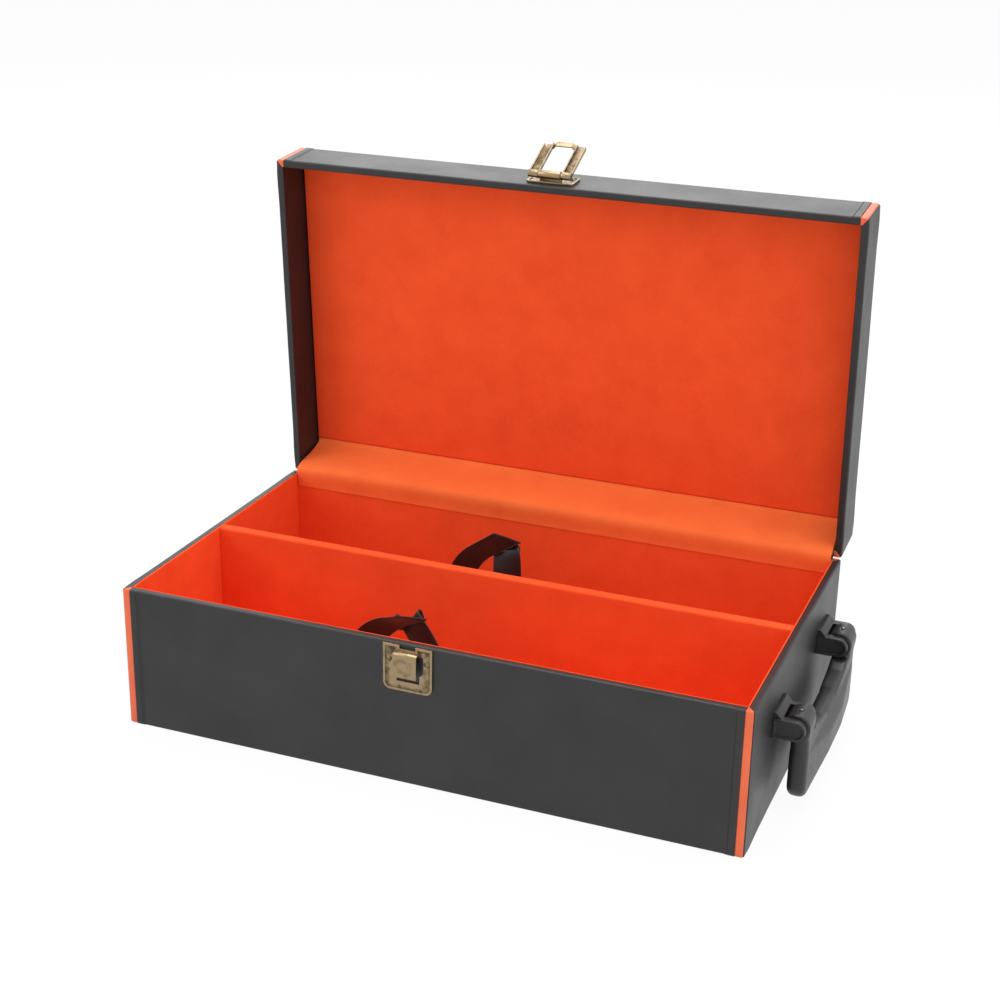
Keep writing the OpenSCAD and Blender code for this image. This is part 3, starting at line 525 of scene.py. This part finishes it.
def wallProfile(shell, stop=None):
    # Depth into the wall and height, from under the bottom edge up the face, over the rim and down inside,
    # with the direction in which each point faces outwards
    r, inner = leatherWork["outerRound"], leatherWork["innerRound"]
    wall, top = shell["wall"], shell["height"]
    parts = [linePoints((leatherWork["underTurn"], 0), (r + 0.3, 0), 3),
             arcPoints((r, r), r, 270, 180, 7)]
    if stop is None:
        parts += [linePoints((0, r + 1), (0, top - r - 1), 16),
                  arcPoints((r, top - r), r, 180, 90, 8),
                  linePoints((r + 0.5, top), (wall - inner - 0.3, top), 4),
                  arcPoints((wall - inner, top - inner), inner, 90, 0, 5),
                  linePoints((wall, top - inner - 0.4), (wall, top - shell["inside"]), 5)]
    else:
        parts += [linePoints((0, r + 1), (0, stop), 14)]
    path = np.concatenate(parts)
    out = sideNormals(path)
    return path[:, 0], path[:, 1], out[:, 0], out[:, 1]


def cornerPoint(along, depth):
    # Plan point on the outline drawn in by depth, whose corner is a quarter circle: along is the way from
    # the corner's diagonal, negative on the front or back and positive on the end
    radius = np.maximum(case["corner"] - depth, leatherWork["leastRound"])
    quarter = radius * math.pi / 4
    turn = np.clip(along / radius, -math.pi / 4, math.pi / 4) + math.pi / 4
    u = depth + radius * (1 - np.sin(turn)) + np.maximum(-along - quarter, 0)
    v = depth + radius * (1 - np.cos(turn)) + np.maximum(along - quarter, 0)
    return u, v


def seamWay(depth, outerSeam, innerSeam, wall):
    # Where a seam that runs straight from outerSeam on the face to innerSeam at the wall's inside crosses
    # the outline drawn in by depth
    radius = np.maximum(case["corner"] - depth, leatherWork["leastRound"])
    u = outerSeam + (innerSeam - outerSeam) * np.clip(depth / wall, 0, 1)
    way = u - depth - radius * (1 - math.pi / 4)
    past = np.minimum((depth - outerSeam) * wall / (innerSeam - outerSeam) - depth, wall - depth)
    return np.where(way > 0, -way, np.maximum(past, 0) if innerSeam < wall else 0)


def inPlan(side, end, u, v, height):
    x = side * (case["length"] / 2 - u)
    y = end * (case["width"] / 2 - v)
    return np.stack(np.broadcast_arrays(x, y, height), -1)


# Places of the grid's columns from the seam inwards, as shares of the way to the turn's end and then in mm,
# and how the face swells behind the seam and falls level again, in mm from the corner
endWork = {"near": [0, 0.02, 0.06, 0.12, 0.2, 0.3, 0.42, 0.56, 0.7, 0.85, 1.0], "turnEnd": 4.5, "far": 24,
           "swell": (1.5, 9), "level": (9, 30), "waveSize": 26, "waveRise": 6}


def endCover(name, side, shellName, node):
    # One skin per end: the wall's profile carried round both corners from seam to seam, with a fuller part
    # behind each seam and slow waves
    shell = shells[shellName]
    wall = shell["wall"]
    depth, height, outD, outH = (a[:, None] for a in wallProfile(shell))
    start = seamWay(depth, leatherWork["wrap"], wall - leatherWork["tip"] / 2, wall)
    radius = np.maximum(case["corner"] - depth, leatherWork["leastRound"])
    middle = case["width"] / 2 - depth - radius * (1 - math.pi / 4)
    near = np.array(endWork["near"])[None, :]
    far = np.linspace(0, 1, endWork["far"])[None, 1:] ** 1.25
    turnEnd = endWork["turnEnd"]
    along = np.concatenate((start + (turnEnd - start) * near, turnEnd + (middle - turnEnd) * far), 1)
    facing = np.clip(-outD, 0, 1)
    swell = 0.7 * smoothStep(along, *endWork["swell"]) * (1 - smoothStep(along, *endWork["level"]))
    slow = waves(along, height, 3.0 + side, endWork["waveSize"]) * smoothStep(along, 0, endWork["waveRise"])
    lift = edgeDrop(along - start, leatherWork["edgeRound"])
    lift = lift + facing * (leatherWork["endSwell"] * swell + leatherWork["waves"] * slow)
    grids = []
    for raised in (lift, -leatherWork["thickness"] + 0 * lift):
        u, v = cornerPoint(along, depth - raised * facing + raised * np.clip(outD, 0, 1))
        high = height + raised * outH
        front = inPlan(side, -1, u, v, high)
        back = inPlan(side, 1, u, v, high)
        grids.append(shell["place"](np.concatenate((front, back[:, -2::-1]), 1)))
    piece = putPiece(name, *closedSlab(*grids), "leather")
    return attach(piece, shell["body"], "leather", node)


def longSeam(shell, depth, outD):
    u = leatherWork["wrap"] + leatherWork["strip"]
    seam = u + (shell["wall"] + leatherWork["tip"] / 2 - u) * np.clip(depth / shell["wall"], 0, 1)
    return np.where(outD > 0.9, shell["wall"] + 0.02, seam)


# Distances of the grid's columns from the seam in mm, close together at the fold and the stitched groove
longWork = {"steps": [0, 0.04, 0.1, 0.2, 0.3, 0.42, 0.7, 1.4, 2.4, 3.3, 3.6, 3.75, 3.88, 4.0, 4.12, 4.25,
                      4.4, 4.7, 4.9, 5.0, 5.1, 5.2, 5.35, 5.6, 6.5, 9.0, 14.0, 22.0, 32.0],
            "rest": 22, "waveSize": 30, "waveRise": (5, 12)}


def longCover(name, end, shellName, node, stop=None):
    # The wall's profile carried along the front or back, with a folded edge at each end, a groove for the
    # stitches in it and slow waves between
    shell = shells[shellName]
    depth, height, outD, outH = (a[:, None] for a in wallProfile(shell, stop))
    seam = longSeam(shell, depth, outD)
    steps = np.array(longWork["steps"])[None, :]
    middle = case["length"] / 2 - seam
    rest = steps[:, -1:] + (middle - steps[:, -1:]) * np.linspace(0, 1, longWork["rest"])[None, 1:]
    away = np.concatenate((steps + 0 * seam, rest), 1)
    facing = np.clip(-outD, 0, 1)
    foldStart = leatherWork["foldWidth"] - 0.15
    fold = 1 - smoothStep(away, foldStart, foldStart + leatherWork["foldSlope"])
    groove = np.exp(-((away - leatherWork["stitchLine"]) / leatherWork["grooveWidth"]) ** 2)
    slow = waves(away, height, 1.0 + end, longWork["waveSize"]) * smoothStep(away, *longWork["waveRise"])
    lift = edgeDrop(away, leatherWork["edgeRound"])
    lift = lift + facing * (leatherWork["foldHeight"] * fold - leatherWork["groove"] * groove
                            + leatherWork["waves"] * slow)
    grids = []
    for raised in (lift, -leatherWork["thickness"] + 0 * lift):
        u = seam + away
        v = depth - raised * facing + raised * np.clip(outD, 0, 1)
        high = height + raised * outH
        left = inPlan(-1, end, u, v, high)
        right = inPlan(1, end, u, v, high)
        grids.append(shell["place"](np.concatenate((left, right[:, -2::-1]), 1)))
    piece = putPiece(name, *closedSlab(*grids), "leather")
    return attach(piece, shell["body"], "leather", node)


# Shares of the strip's width at which its grid has columns, its crown as a part of its width, and how it
# is set in
stripWork = {"share": [0, 0.03, 0.08, 0.16, 0.3, 0.5, 0.7, 0.84, 0.92, 0.97, 1.0], "crown": 0.02,
             "round": 0.35, "roundPart": 0.3, "sink": 0.02, "thickness": 0.6, "inside": 1.4, "least": 0.25}


def cornerStrips(name, shellName, node):
    # Four narrow bands between the covers, crowned across and tapering over the rim to the inner corner
    shell = shells[shellName]
    wall = shell["wall"]
    profile = wallProfile({**shell, "inside": stripWork["inside"]})
    depth, height, outD, outH = (a[:, None] for a in profile)
    outer = leatherWork["wrap"] + leatherWork["strip"]
    first = seamWay(depth, outer, wall + leatherWork["tip"] / 2, wall)
    last = seamWay(depth, leatherWork["wrap"], wall - leatherWork["tip"] / 2, wall)
    first = np.minimum(first, last - stripWork["least"])
    share = np.array(stripWork["share"])[None, :]
    along = first + (last - first) * share
    edge = np.minimum(along - first, last - along)
    width = last - first
    lift = stripWork["crown"] * width * (1 - (2 * share - 1) ** 2) - stripWork["sink"]
    lift = lift + edgeDrop(edge, np.minimum(stripWork["round"], width * stripWork["roundPart"]))
    facing = np.clip(-outD, 0, 1)
    parts, faces, count = [], [], 0
    for side in (-1, 1):
        for end in (-1, 1):
            grids = []
            for raised in (lift, -stripWork["thickness"] + 0 * lift):
                u, v = cornerPoint(along, depth - raised * facing + raised * np.clip(outD, 0, 1))
                grids.append(shell["place"](inPlan(side, end, u, v, height + raised * outH)))
            points, quads = closedSlab(*grids)
            parts.append(points)
            faces.append(quads + count)
            count += len(points)
    piece = putPiece(name, np.concatenate(parts), np.concatenate(faces), "strip")
    return attach(piece, shell["body"], "strip", node)


endCover("leftLeather", -1, "base", "left_cover")
endCover("rightLeather", 1, "base", "right_cover")
longCover("frontLeather", -1, "base", "front_cover")
longCover("backLeather", 1, "base", "back_cover", stop=case["backLeatherTop"])
cornerStrips("baseCornerStrips", "base", "base_strips")
endCover("lidLeftLeather", -1, "lid", "lid_left_cover")
endCover("lidRightLeather", 1, "lid", "lid_right_cover")
longCover("lidFrontLeather", -1, "lid", "lid_front_cover")
longCover("lidBackLeather", 1, "lid", "lid_back_cover", stop=case["lidBackLeatherTop"])
cornerStrips("lidCornerStrips", "lid", "lid_strips")
print("wall leather made")

# Flat coverings: the bottom, the lid's top, the linings and the lid's padded panel


def edgeSamples(length, rounding, count):
    near = rounding * np.array([0, 0.08, 0.25, 0.5, 0.75, 1.0])
    inner = np.linspace(rounding, length - rounding, count)[1:-1]
    return np.concatenate((near, inner, length - near[::-1]))


def softSlab(corner, along, across, facing, size, thickness, rounding, uneven=0.0, crown=0.0, seed=1.0,
             waveSize=30.0, count=(40, 24)):
    # Slab on a flat back: its face stands thickness out, falls off in a quarter round at the border,
    # and carries a crown and slow waves
    a = edgeSamples(size[0], rounding, count[0])[:, None]
    b = edgeSamples(size[1], rounding, count[1])[None, :]
    border = np.minimum(np.minimum(a, size[0] - a), np.minimum(b, size[1] - b))
    fall = edgeDrop(border, rounding)
    inside = np.sin(math.pi * a / size[0]) * np.sin(math.pi * b / size[1])
    out = thickness + fall * min(1.0, thickness / rounding)
    out = out + smoothStep(border, 0, 6 * rounding) * (uneven * waves(a, b, seed, waveSize))
    out = out + crown * inside ** 0.4 + 0 * a
    corner, along, across, facing = (np.array(v, float) for v in (corner, along, across, facing))
    flat = corner + a[..., None] * along + b[..., None] * across
    return closedSlab(flat + out[..., None] * facing, flat)


flatCover = {"gap": 0.25, "seat": 0.8, "thickness": 0.72, "rounding": 0.4, "uneven": 0.03, "seed": 2.0}


def plainCover(name, shellName, node):
    inset = leatherWork["underTurn"] + flatCover["gap"]
    size = (case["length"] - 2 * inset, case["width"] - 2 * inset)
    shell = shells[shellName]
    corner = (-size[0] / 2, -size[1] / 2, flatCover["seat"])
    points, faces = softSlab(corner, (1, 0, 0), (0, 1, 0), (0, 0, -1), size, flatCover["thickness"],
                             flatCover["rounding"], flatCover["uneven"], seed=flatCover["seed"])
    piece = putPiece(name, shell["place"](points), faces, "leather")
    return attach(piece, shell["body"], "leather", node)


plainCover("bottomLeather", "base", "bottom_cover")
plainCover("lidTopLeather", "lid", "lid_top_cover")

linings = {"thickness": 0.78, "rounding": 0.38, "uneven": 0.06, "floorRounding": 0.3, "floorUneven": 0.03,
           "underHinge": 8.0}


def wallLining(name, node, corner, along, facing, size):
    points, faces = softSlab(corner, along, (0, 0, 1), facing, size, linings["thickness"],
                             linings["rounding"], linings["uneven"], seed=len(name), count=(36, 20))
    return attach(putPiece(name, points, faces, "lining"), "base", "lining", node)


halfX = case["length"] / 2 - case["boards"]
halfY = case["width"] / 2 - case["boards"] - case["lining"]
liningZ = case["boards"] + case["lining"]
wallHigh = case["baseHeight"] - liningZ
boardY = case["width"] / 2 - case["boards"]
wallLining("frontLining", "front_lining", (-halfX, -boardY, liningZ), (1, 0, 0), (0, 1, 0),
           (2 * halfX, wallHigh))
wallLining("backLining", "back_lining", (-halfX, boardY, liningZ), (1, 0, 0), (0, -1, 0),
           (2 * halfX, wallHigh - linings["underHinge"]))
wallLining("leftLining", "left_lining", (-halfX, -halfY, liningZ), (0, 1, 0), (1, 0, 0),
           (2 * halfY, wallHigh))
wallLining("rightLining", "right_lining", (halfX, -halfY, liningZ), (0, 1, 0), (-1, 0, 0),
           (2 * halfY, wallHigh))
floorPoints, floorFaces = softSlab((-halfX, -boardY, case["boards"]), (1, 0, 0), (0, 1, 0), (0, 0, 1),
                                   (2 * halfX, 2 * boardY), linings["thickness"], linings["floorRounding"],
                                   linings["floorUneven"])
attach(putPiece("floorLining", floorPoints, floorFaces, "lining"), "base", "lining", "floor_lining")

divider = {"half": 3.3, "top": 81.3, "cover": 0.75, "rounding": 1.5, "uneven": 0.07, "play": 0.05,
           "endRound": 0.6, "endDrop": 0.48, "waveSize": 24}


def dividerLining():
    # Lining carried over the divider: up one side, round over the top and down the other
    half, top, r = divider["half"], divider["top"], divider["rounding"]
    foot = liningZ + divider["play"]
    path = np.concatenate((linePoints((-half, foot), (-half, top - r - 1), 14),
                           arcPoints((r - half, top - r), r, 180, 90, 8),
                           linePoints((r - half + 0.4, top), (half - r - 0.4, top), 4),
                           arcPoints((half - r, top - r), r, 90, 0, 8),
                           linePoints((half, top - r - 1), (half, foot), 14)))
    reach = halfX - case["lining"] - divider["play"]
    x = edgeSamples(2 * reach, divider["endRound"], 60)[None, :] - reach
    lift = divider["uneven"] * waves(x, path[:, 1:2] * 1.4 + path[:, :1], 5.0, divider["waveSize"])
    lift = lift + divider["endDrop"] * edgeDrop(reach - np.abs(x), divider["endRound"])
    heights = (lift - divider["play"], 0 * lift - divider["cover"])
    piece = carryAlong("dividerLining", path, x, heights, "panel")
    return attach(piece, "base", "band", "divider_lining")


dividerLining()

panel = {"inset": 4.5, "rise": 12.6, "level": 25.2, "thickness": 2.0, "play": 0.1, "rounding": 1.3,
         "crown": 0.35, "uneven": 0.14, "waveSize": 34.0}


def lidPanel():
    size = (case["length"] - 2 * panel["inset"], case["width"] - panel["inset"] - panel["rise"])
    corner = (-size[0] / 2, panel["inset"] - case["width"] / 2, panel["level"] + panel["thickness"])
    points, faces = softSlab(corner, (1, 0, 0), (0, 1, 0), (0, 0, -1), size,
                             panel["thickness"] - panel["play"], panel["rounding"], panel["uneven"],
                             panel["crown"], 4.0, panel["waveSize"], (70, 44))
    piece = putPiece("lidPanel", openLid(points), faces, "panel")
    return attach(piece, "lid", "panel", "lid_panel")


lidPanel()
print("flat coverings made")

# Hinge: leather outside and a cloth band inside, both shaped round the hinge line for the open lid


def lidSide(y, z):
    turn = math.radians(case["lidOpen"])
    return (y * math.cos(turn) + z * math.sin(turn), z * math.cos(turn) - y * math.sin(turn))


hingeLine = (case["width"] / 2, case["baseHeight"])
hinge = {"thickness": 1.2, "gap": 0.3, "swell": 3.0, "crest": (-1.5, 5.4), "wrinkle": 0.3}


def hingeBand():
    # Cloth band in side view: up from the back wall's lining, swelling into the case and back over the
    # hinge line to the lid's panel, with shallow wrinkles across it
    seat = -case["boards"] - 0.7
    crest = hinge["crest"]
    level = panel["level"] + 0.7
    lower = bezier([(seat, -8.0), (seat, -2), (seat - hinge["swell"], 4.2), crest], np.linspace(0, 1, 19))
    upper = bezier([crest, (7, 8.4), lidSide(5 - panel["rise"], level), lidSide(-panel["rise"], level)],
                   np.linspace(0, 1, 25))
    path = np.concatenate((lower, upper[1:]))
    reach = halfX - case["lining"] - hinge["gap"]
    x = edgeSamples(2 * reach, 1.0, 150)[None, :] - reach
    row = np.linspace(0, 1, len(path))[:, None]
    free = np.sin(math.pi * row) ** 0.7
    creases = waves(x, row * 26, 2.3, 11) * 0.5 + waves(x, row * 40, 7.1, 27)
    nearEnd = 1 + 1.6 * smoothStep(np.abs(x), reach - 26, reach - 3)
    lift = hinge["wrinkle"] * free * creases * nearEnd
    half = hinge["thickness"] / 2
    endFall = edgeDrop(reach - np.abs(x), 1.0) * 0.5
    heights = (half + lift + endFall, lift - half - endFall)
    # Its finish carries painted light: the lining cloth made brighter because the band faces up
    piece = carryAlong("hingeBand", path, x, heights, "band", hingeLine)
    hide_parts("hinge_lining")
    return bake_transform(piece)


def hingeLeather():
    # Middle of the leather in side view: up the back wall, a tight turn at the hinge line and out along
    # the lid's back wall
    half = 0.4
    reach = 18.0
    up = linePoints((-half, -reach), (-half, -1.2), 9)
    bend = bezier([(-half, -1.2), (-half, 0.1), (0.1, half + 0.05), lidSide(-half, 1.6)],
                  np.linspace(0, 1, 9))
    away = linePoints(lidSide(-half, 1.6), lidSide(-half, reach), 9)
    path = np.concatenate((up, bend[1:], away[1:]))
    span = case["length"] / 2 - leatherWork["wrap"] - leatherWork["strip"] - 0.1
    x = edgeSamples(2 * span, 0.5, 50)[None, :] - span
    row = np.linspace(0, 1, len(path))[:, None]
    ends = np.minimum(row, 1 - row) * 38
    drop = edgeDrop(np.minimum(span - np.abs(x), ends), 0.45)
    lift = 0.05 * waves(x, row * 30, 1.3, 18) * np.sin(math.pi * row)
    heights = (half + 0 * lift, lift - half - drop - 0.05)
    piece = carryAlong("hingeLeather", path, x, heights, "leather", hingeLine)
    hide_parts("hinge_leather")
    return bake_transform(piece)


hingeBand()
hingeLeather()
print("hinge made")

# Ribbons

ribbonCloth = {"width": 16.5, "thickness": 0.5, "rows": 64, "columns": 15, "root": liningZ + 0.05,
               "foot": 12.0, "footRows": 10, "slant": 3.5, "slantedPart": 0.2, "cup": 0.35, "cupFrom": 0.25}
# Side of the divider, control points as parts of the case's length and width and the base's height with y
# from the middle of the bay, and the angles of the width at the root and at the tip
ribbons = {
    "frontLeftRibbon": ("front_left_ribbon", -1,
                        [(-0.177, -0.017, 0), (-0.177, -0.017, 0.855), (-0.088, -0.013, 0.817),
                         (-0.071, -0.02, 0.895)], (21, 25)),
    "frontRightRibbon": ("front_right_ribbon", -1,
                         [(-0.021, 0.008, 0), (-0.021, 0.008, 0.655), (-0.11, 0.044, 0.872),
                          (-0.084, 0.043, 0.783)], (5, -24)),
    "backLeftRibbon": ("back_left_ribbon", 1,
                       [(-0.119, -0.016, 0), (-0.119, -0.016, 0.847), (-0.094, -0.024, 0.821),
                        (-0.024, -0.024, 1.03)], (38, 21)),
    "backRightRibbon": ("back_right_ribbon", 1,
                        [(-0.029, 0.009, 0), (-0.029, 0.009, 1.234), (-0.041, 0.039, 0.737),
                         (-0.04, 0.042, 0.899)], (42, -56)),
}


def layRibbon(name, node, side, control, angles):
    # Ribbon along a cubic curve: its width turns on the way and cups a little across, its foot is bent flat
    # onto the floor, and its end is cut at a slant
    control = np.array(control) * (case["length"], case["width"], case["baseHeight"])
    control[:, 1] += side * case["width"] / 4
    control[0, 2] = ribbonCloth["root"] + ribbonCloth["thickness"]
    t = np.linspace(0, 1, ribbonCloth["rows"])
    line = bezier(control, t)
    width = ribbonCloth["width"]
    footCount = ribbonCloth["footRows"]
    first, last = (math.radians(a) for a in angles)
    footWay = np.array([[-math.sin(first), math.cos(first), 0]])
    foot = np.linspace(ribbonCloth["foot"], 0, footCount, endpoint=False)[:, None] * footWay
    line = np.concatenate((foot + line[0], line))
    t = np.concatenate((np.zeros(footCount), t))
    turn = first + (last - first) * t
    run = np.gradient(line, axis=0)
    run /= np.linalg.norm(run, axis=1)[:, None]
    wide = np.stack((np.cos(turn), np.sin(turn), 0 * turn), -1)
    wide -= (wide * run).sum(1)[:, None] * run
    wide /= np.linalg.norm(wide, axis=1)[:, None]
    flat = np.cross(run, wide)
    across = np.linspace(-1, 1, ribbonCloth["columns"])[None, :, None]
    away = np.linalg.norm(np.diff(line, axis=0), axis=1)
    length = np.concatenate(([0], np.cumsum(away)))
    share = smoothStep(length / length[-1], ribbonCloth["cupFrom"], 1.0)[:, None, None]
    cup = ribbonCloth["cup"] * (1 - across ** 2) * share
    part = ribbonCloth["slantedPart"]
    slant = across * ribbonCloth["slant"] * np.clip((t - 1 + part) / part, 0, 1)[:, None, None]
    points = line[:, None] + across * width / 2 * wide[:, None]
    points = points + cup * flat[:, None] + slant * run[:, None]
    piece = putPiece(name, points.reshape(-1, 3), gridQuads(*points.shape[:2]), "ribbon", closed=False)
    mesh = piece.data
    u = np.broadcast_to((across[..., 0] + 1) / 2 * width * 0.01, points.shape[:2]).ravel()
    v = np.broadcast_to(length[:, None] * 0.01, points.shape[:2]).ravel()
    corners = np.zeros(len(mesh.loops), np.int32)
    mesh.loops.foreach_get("vertex_index", corners)
    mesh.uv_layers.new(name="weave").data.foreach_set("uv", np.stack((u, v), -1)[corners].ravel())
    thick = piece.modifiers.new("thickness", "SOLIDIFY")
    thick.thickness = ribbonCloth["thickness"] / metre
    thick.offset = 0.0
    return attach(piece, "base", "ribbon", node)


for ribbonName, ribbonValues in ribbons.items():
    layRibbon(ribbonName, *ribbonValues)
print("ribbons laid")

# Stitches along the folded edges

stitching = {"pitch": 3.3, "length": 2.7, "radius": 0.24, "sides": 6, "rings": 5, "foot": 3.6, "head": 2.4,
             "proud": 0.06, "lidTop": 30.9}


def stitchRow(centres, direction, outward):
    # One small pointed thread per centre: rings round its line whose radius follows a half sine
    rings = np.linspace(0, 1, stitching["rings"] + 2)
    angle = np.linspace(0, 2 * math.pi, stitching["sides"], endpoint=False)
    other = np.cross(direction, outward)
    swell = np.maximum(np.sin(math.pi * rings), 0.02) ** 0.6 * stitching["radius"]
    turned = np.cos(angle)[:, None] * outward + np.sin(angle)[:, None] * other
    ring = swell[:, None, None] * turned + (rings - 0.5)[:, None, None] * stitching["length"] * direction
    one = ring.reshape(-1, 3)
    index = np.arange(len(one)).reshape(len(rings), stitching["sides"])
    after = np.roll(index, -1, axis=1)
    quads = np.stack((index[:-1], after[:-1], after[1:], index[1:]), -1).reshape(-1, 4)
    caps = np.stack([index[k][[0, 1, 2, 3]] for k in (0, -1)] + [index[k][[3, 4, 5, 0]] for k in (0, -1)])
    faces = np.concatenate((quads, caps))
    points = (centres[:, None] + one[None]).reshape(-1, 3)
    return points, (faces[None] + len(one) * np.arange(len(centres))[:, None, None]).reshape(-1, 4)


def stitches(name, shellName, ends):
    shell = shells[shellName]
    x = case["length"] / 2 - leatherWork["wrap"] - leatherWork["strip"] - leatherWork["stitchLine"]
    parts, faces, count = [], [], 0
    for end, top in ends:
        high = np.arange(stitching["foot"], top - stitching["head"], stitching["pitch"])
        for side in (-1, 1):
            y = case["width"] / 2 + leatherWork["foldHeight"] - leatherWork["groove"] + stitching["proud"]
            centres = np.stack((np.full_like(high, side * x), np.full_like(high, end * y), high), -1)
            points, quads = stitchRow(centres, np.array((0.0, 0.0, 1.0)), np.array((0.0, float(end), 0.0)))
            parts.append(points)
            faces.append(quads + count)
            count += len(points)
    points = shell["place"](np.concatenate(parts))
    piece = putPiece(name, points, np.concatenate(faces), "thread")
    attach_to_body(piece, shell["body"])
    return piece


stitches("baseStitches", "base", [(-1, case["baseHeight"]), (1, case["backLeatherTop"])])
stitches("lidStitches", "lid", [(-1, stitching["lidTop"]), (1, case["lidBackLeatherTop"])])
print("stitches made")

# Brass, steel and plastic: the solids' own shapes with their edges eased


catchWindow = {"outline": [(-11.7, 75.6), (2.9, 75.6), (2.9, 66.2), (1.0, 64.6), (1.0, 60.1),
                           (-11.7, 60.1)],
               "depths": (-102.6, -99.2)}


def cutWindow(piece, outline, depths):
    # A prism with this outline in x and z is taken out of the piece, and is deleted afterwards
    count = len(outline)
    plan = np.array(outline)
    rings = [np.stack((plan[:, 0], np.full(count, depth), plan[:, 1]), -1) for depth in depths]
    index = np.arange(count)
    after = np.roll(index, -1)
    sides = np.stack((index, after, after + count, index + count), -1).tolist()
    mesh = bpy.data.meshes.new("window")
    mesh.from_pydata((np.concatenate(rings) / metre).tolist(), [],
                     sides + [index[::-1].tolist(), (index + count).tolist()])
    work = bmesh.new()
    work.from_mesh(mesh)
    bmesh.ops.recalc_face_normals(work, faces=work.faces)
    work.to_mesh(mesh)
    work.free()
    prism = bpy.data.objects.new("window", mesh)
    bpy.context.scene.collection.objects.link(prism)
    cut = piece.modifiers.new("window", "BOOLEAN")
    cut.operation = "DIFFERENCE"
    cut.object = prism
    made = bpy.data.meshes.new_from_object(piece.evaluated_get(bpy.context.evaluated_depsgraph_get()))
    piece.modifiers.clear()
    piece.data = made
    bpy.data.objects.remove(prism)


def copySolid(name, node, slotName, flatAngle=None):
    # A solid's mesh with its triangles joined, and its flat faces made whole where an angle is given
    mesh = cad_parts[node].data.copy()
    mesh.name = name
    work = bmesh.new()
    work.from_mesh(mesh)
    bmesh.ops.remove_doubles(work, verts=work.verts, dist=meshing["copyWeld"])
    if flatAngle:
        bmesh.ops.dissolve_limit(work, angle_limit=math.radians(flatAngle), verts=work.verts,
                                 edges=work.edges)
    work.to_mesh(mesh)
    work.free()
    mesh.materials.clear()
    mesh.materials.append(finishes[slotName])
    piece = bpy.data.objects.new(name, mesh)
    bpy.context.scene.collection.objects.link(piece)
    return piece


def easedCopy(name, node, body, slotName, edge, segments=2, angle=32.0, window=None):
    piece = copySolid(name, node, slotName, meshing["flatAngle"])
    piece.data.polygons.foreach_set("use_smooth", np.ones(len(piece.data.polygons), bool))
    if window:
        cutWindow(piece, **window)
    bevel = piece.modifiers.new("edges", "BEVEL")
    bevel.width = edge / metre
    bevel.segments = segments
    bevel.limit_method = "ANGLE"
    bevel.angle_limit = math.radians(angle)
    bevel.use_clamp_overlap = True
    bevel.harden_normals = True
    return attach(piece, body, slotName, node)


easedCopy("catchPlate", "catch_plate", "base", "brass_sheet", 0.2, window=catchWindow)
easedCopy("catchNails", "catch_nails", "base", "brass_pins", 0.1)
easedCopy("haspPlate", "hasp_plate", "lid", "brass_sheet", 0.2)
easedCopy("haspNails", "hasp_nails", "lid", "brass_pins", 0.1)
easedCopy("haspPin", "hasp_pin", "lid", "brass_pins", 0.25)
easedCopy("haspLoop", "hasp_loop", "hasp", "brass_sheet", 0.18)
easedCopy("frontMount", "front_handle_mount", "base", "handle_plastic", 0.45, 3)
easedCopy("backMount", "back_handle_mount", "base", "handle_plastic", 0.45, 3)
easedCopy("handlePins", "handle_pins", "base", "brass_pins", 0.3)
easedCopy("handleStuds", "handle_studs", "handle", "steel", 0.15)
print("metal and mounts made")


moulding = {"grain": 0.7, "softness": 0.5, "passes": 6}


def mouldedHandle():
    # The solid fused on a fine grid and its edges softened, as a moulding's are
    piece = copySolid("mouldedHandle", "handle", "handle_plastic")
    fuse = piece.modifiers.new("fuse", "REMESH")
    fuse.mode = "VOXEL"
    fuse.voxel_size = moulding["grain"] / metre
    fuse.use_smooth_shade = True
    soft = piece.modifiers.new("soften", "SMOOTH")
    soft.factor = moulding["softness"]
    soft.iterations = moulding["passes"]
    return attach(piece, "handle", "handle_plastic", "handle")


mouldedHandle()
print("handle made")

# Solids that stay as they are take their finish

plainSolids = {"board": ["bottom_board", "front_board", "back_board", "left_board", "right_board",
                         "divider_board", "lid_top_board", "lid_front_board", "lid_back_board",
                         "lid_left_board", "lid_right_board"],
               "steel": ["mount_screws"]}
for slotName, nodeName in [(slot, node) for slot, nodes in plainSolids.items() for node in nodes]:
    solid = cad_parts[nodeName]
    if not solid.material_slots:
        solid.data.materials.append(finishes[slotName])
    for place in solid.material_slots:
        place.material = finishes[slotName]
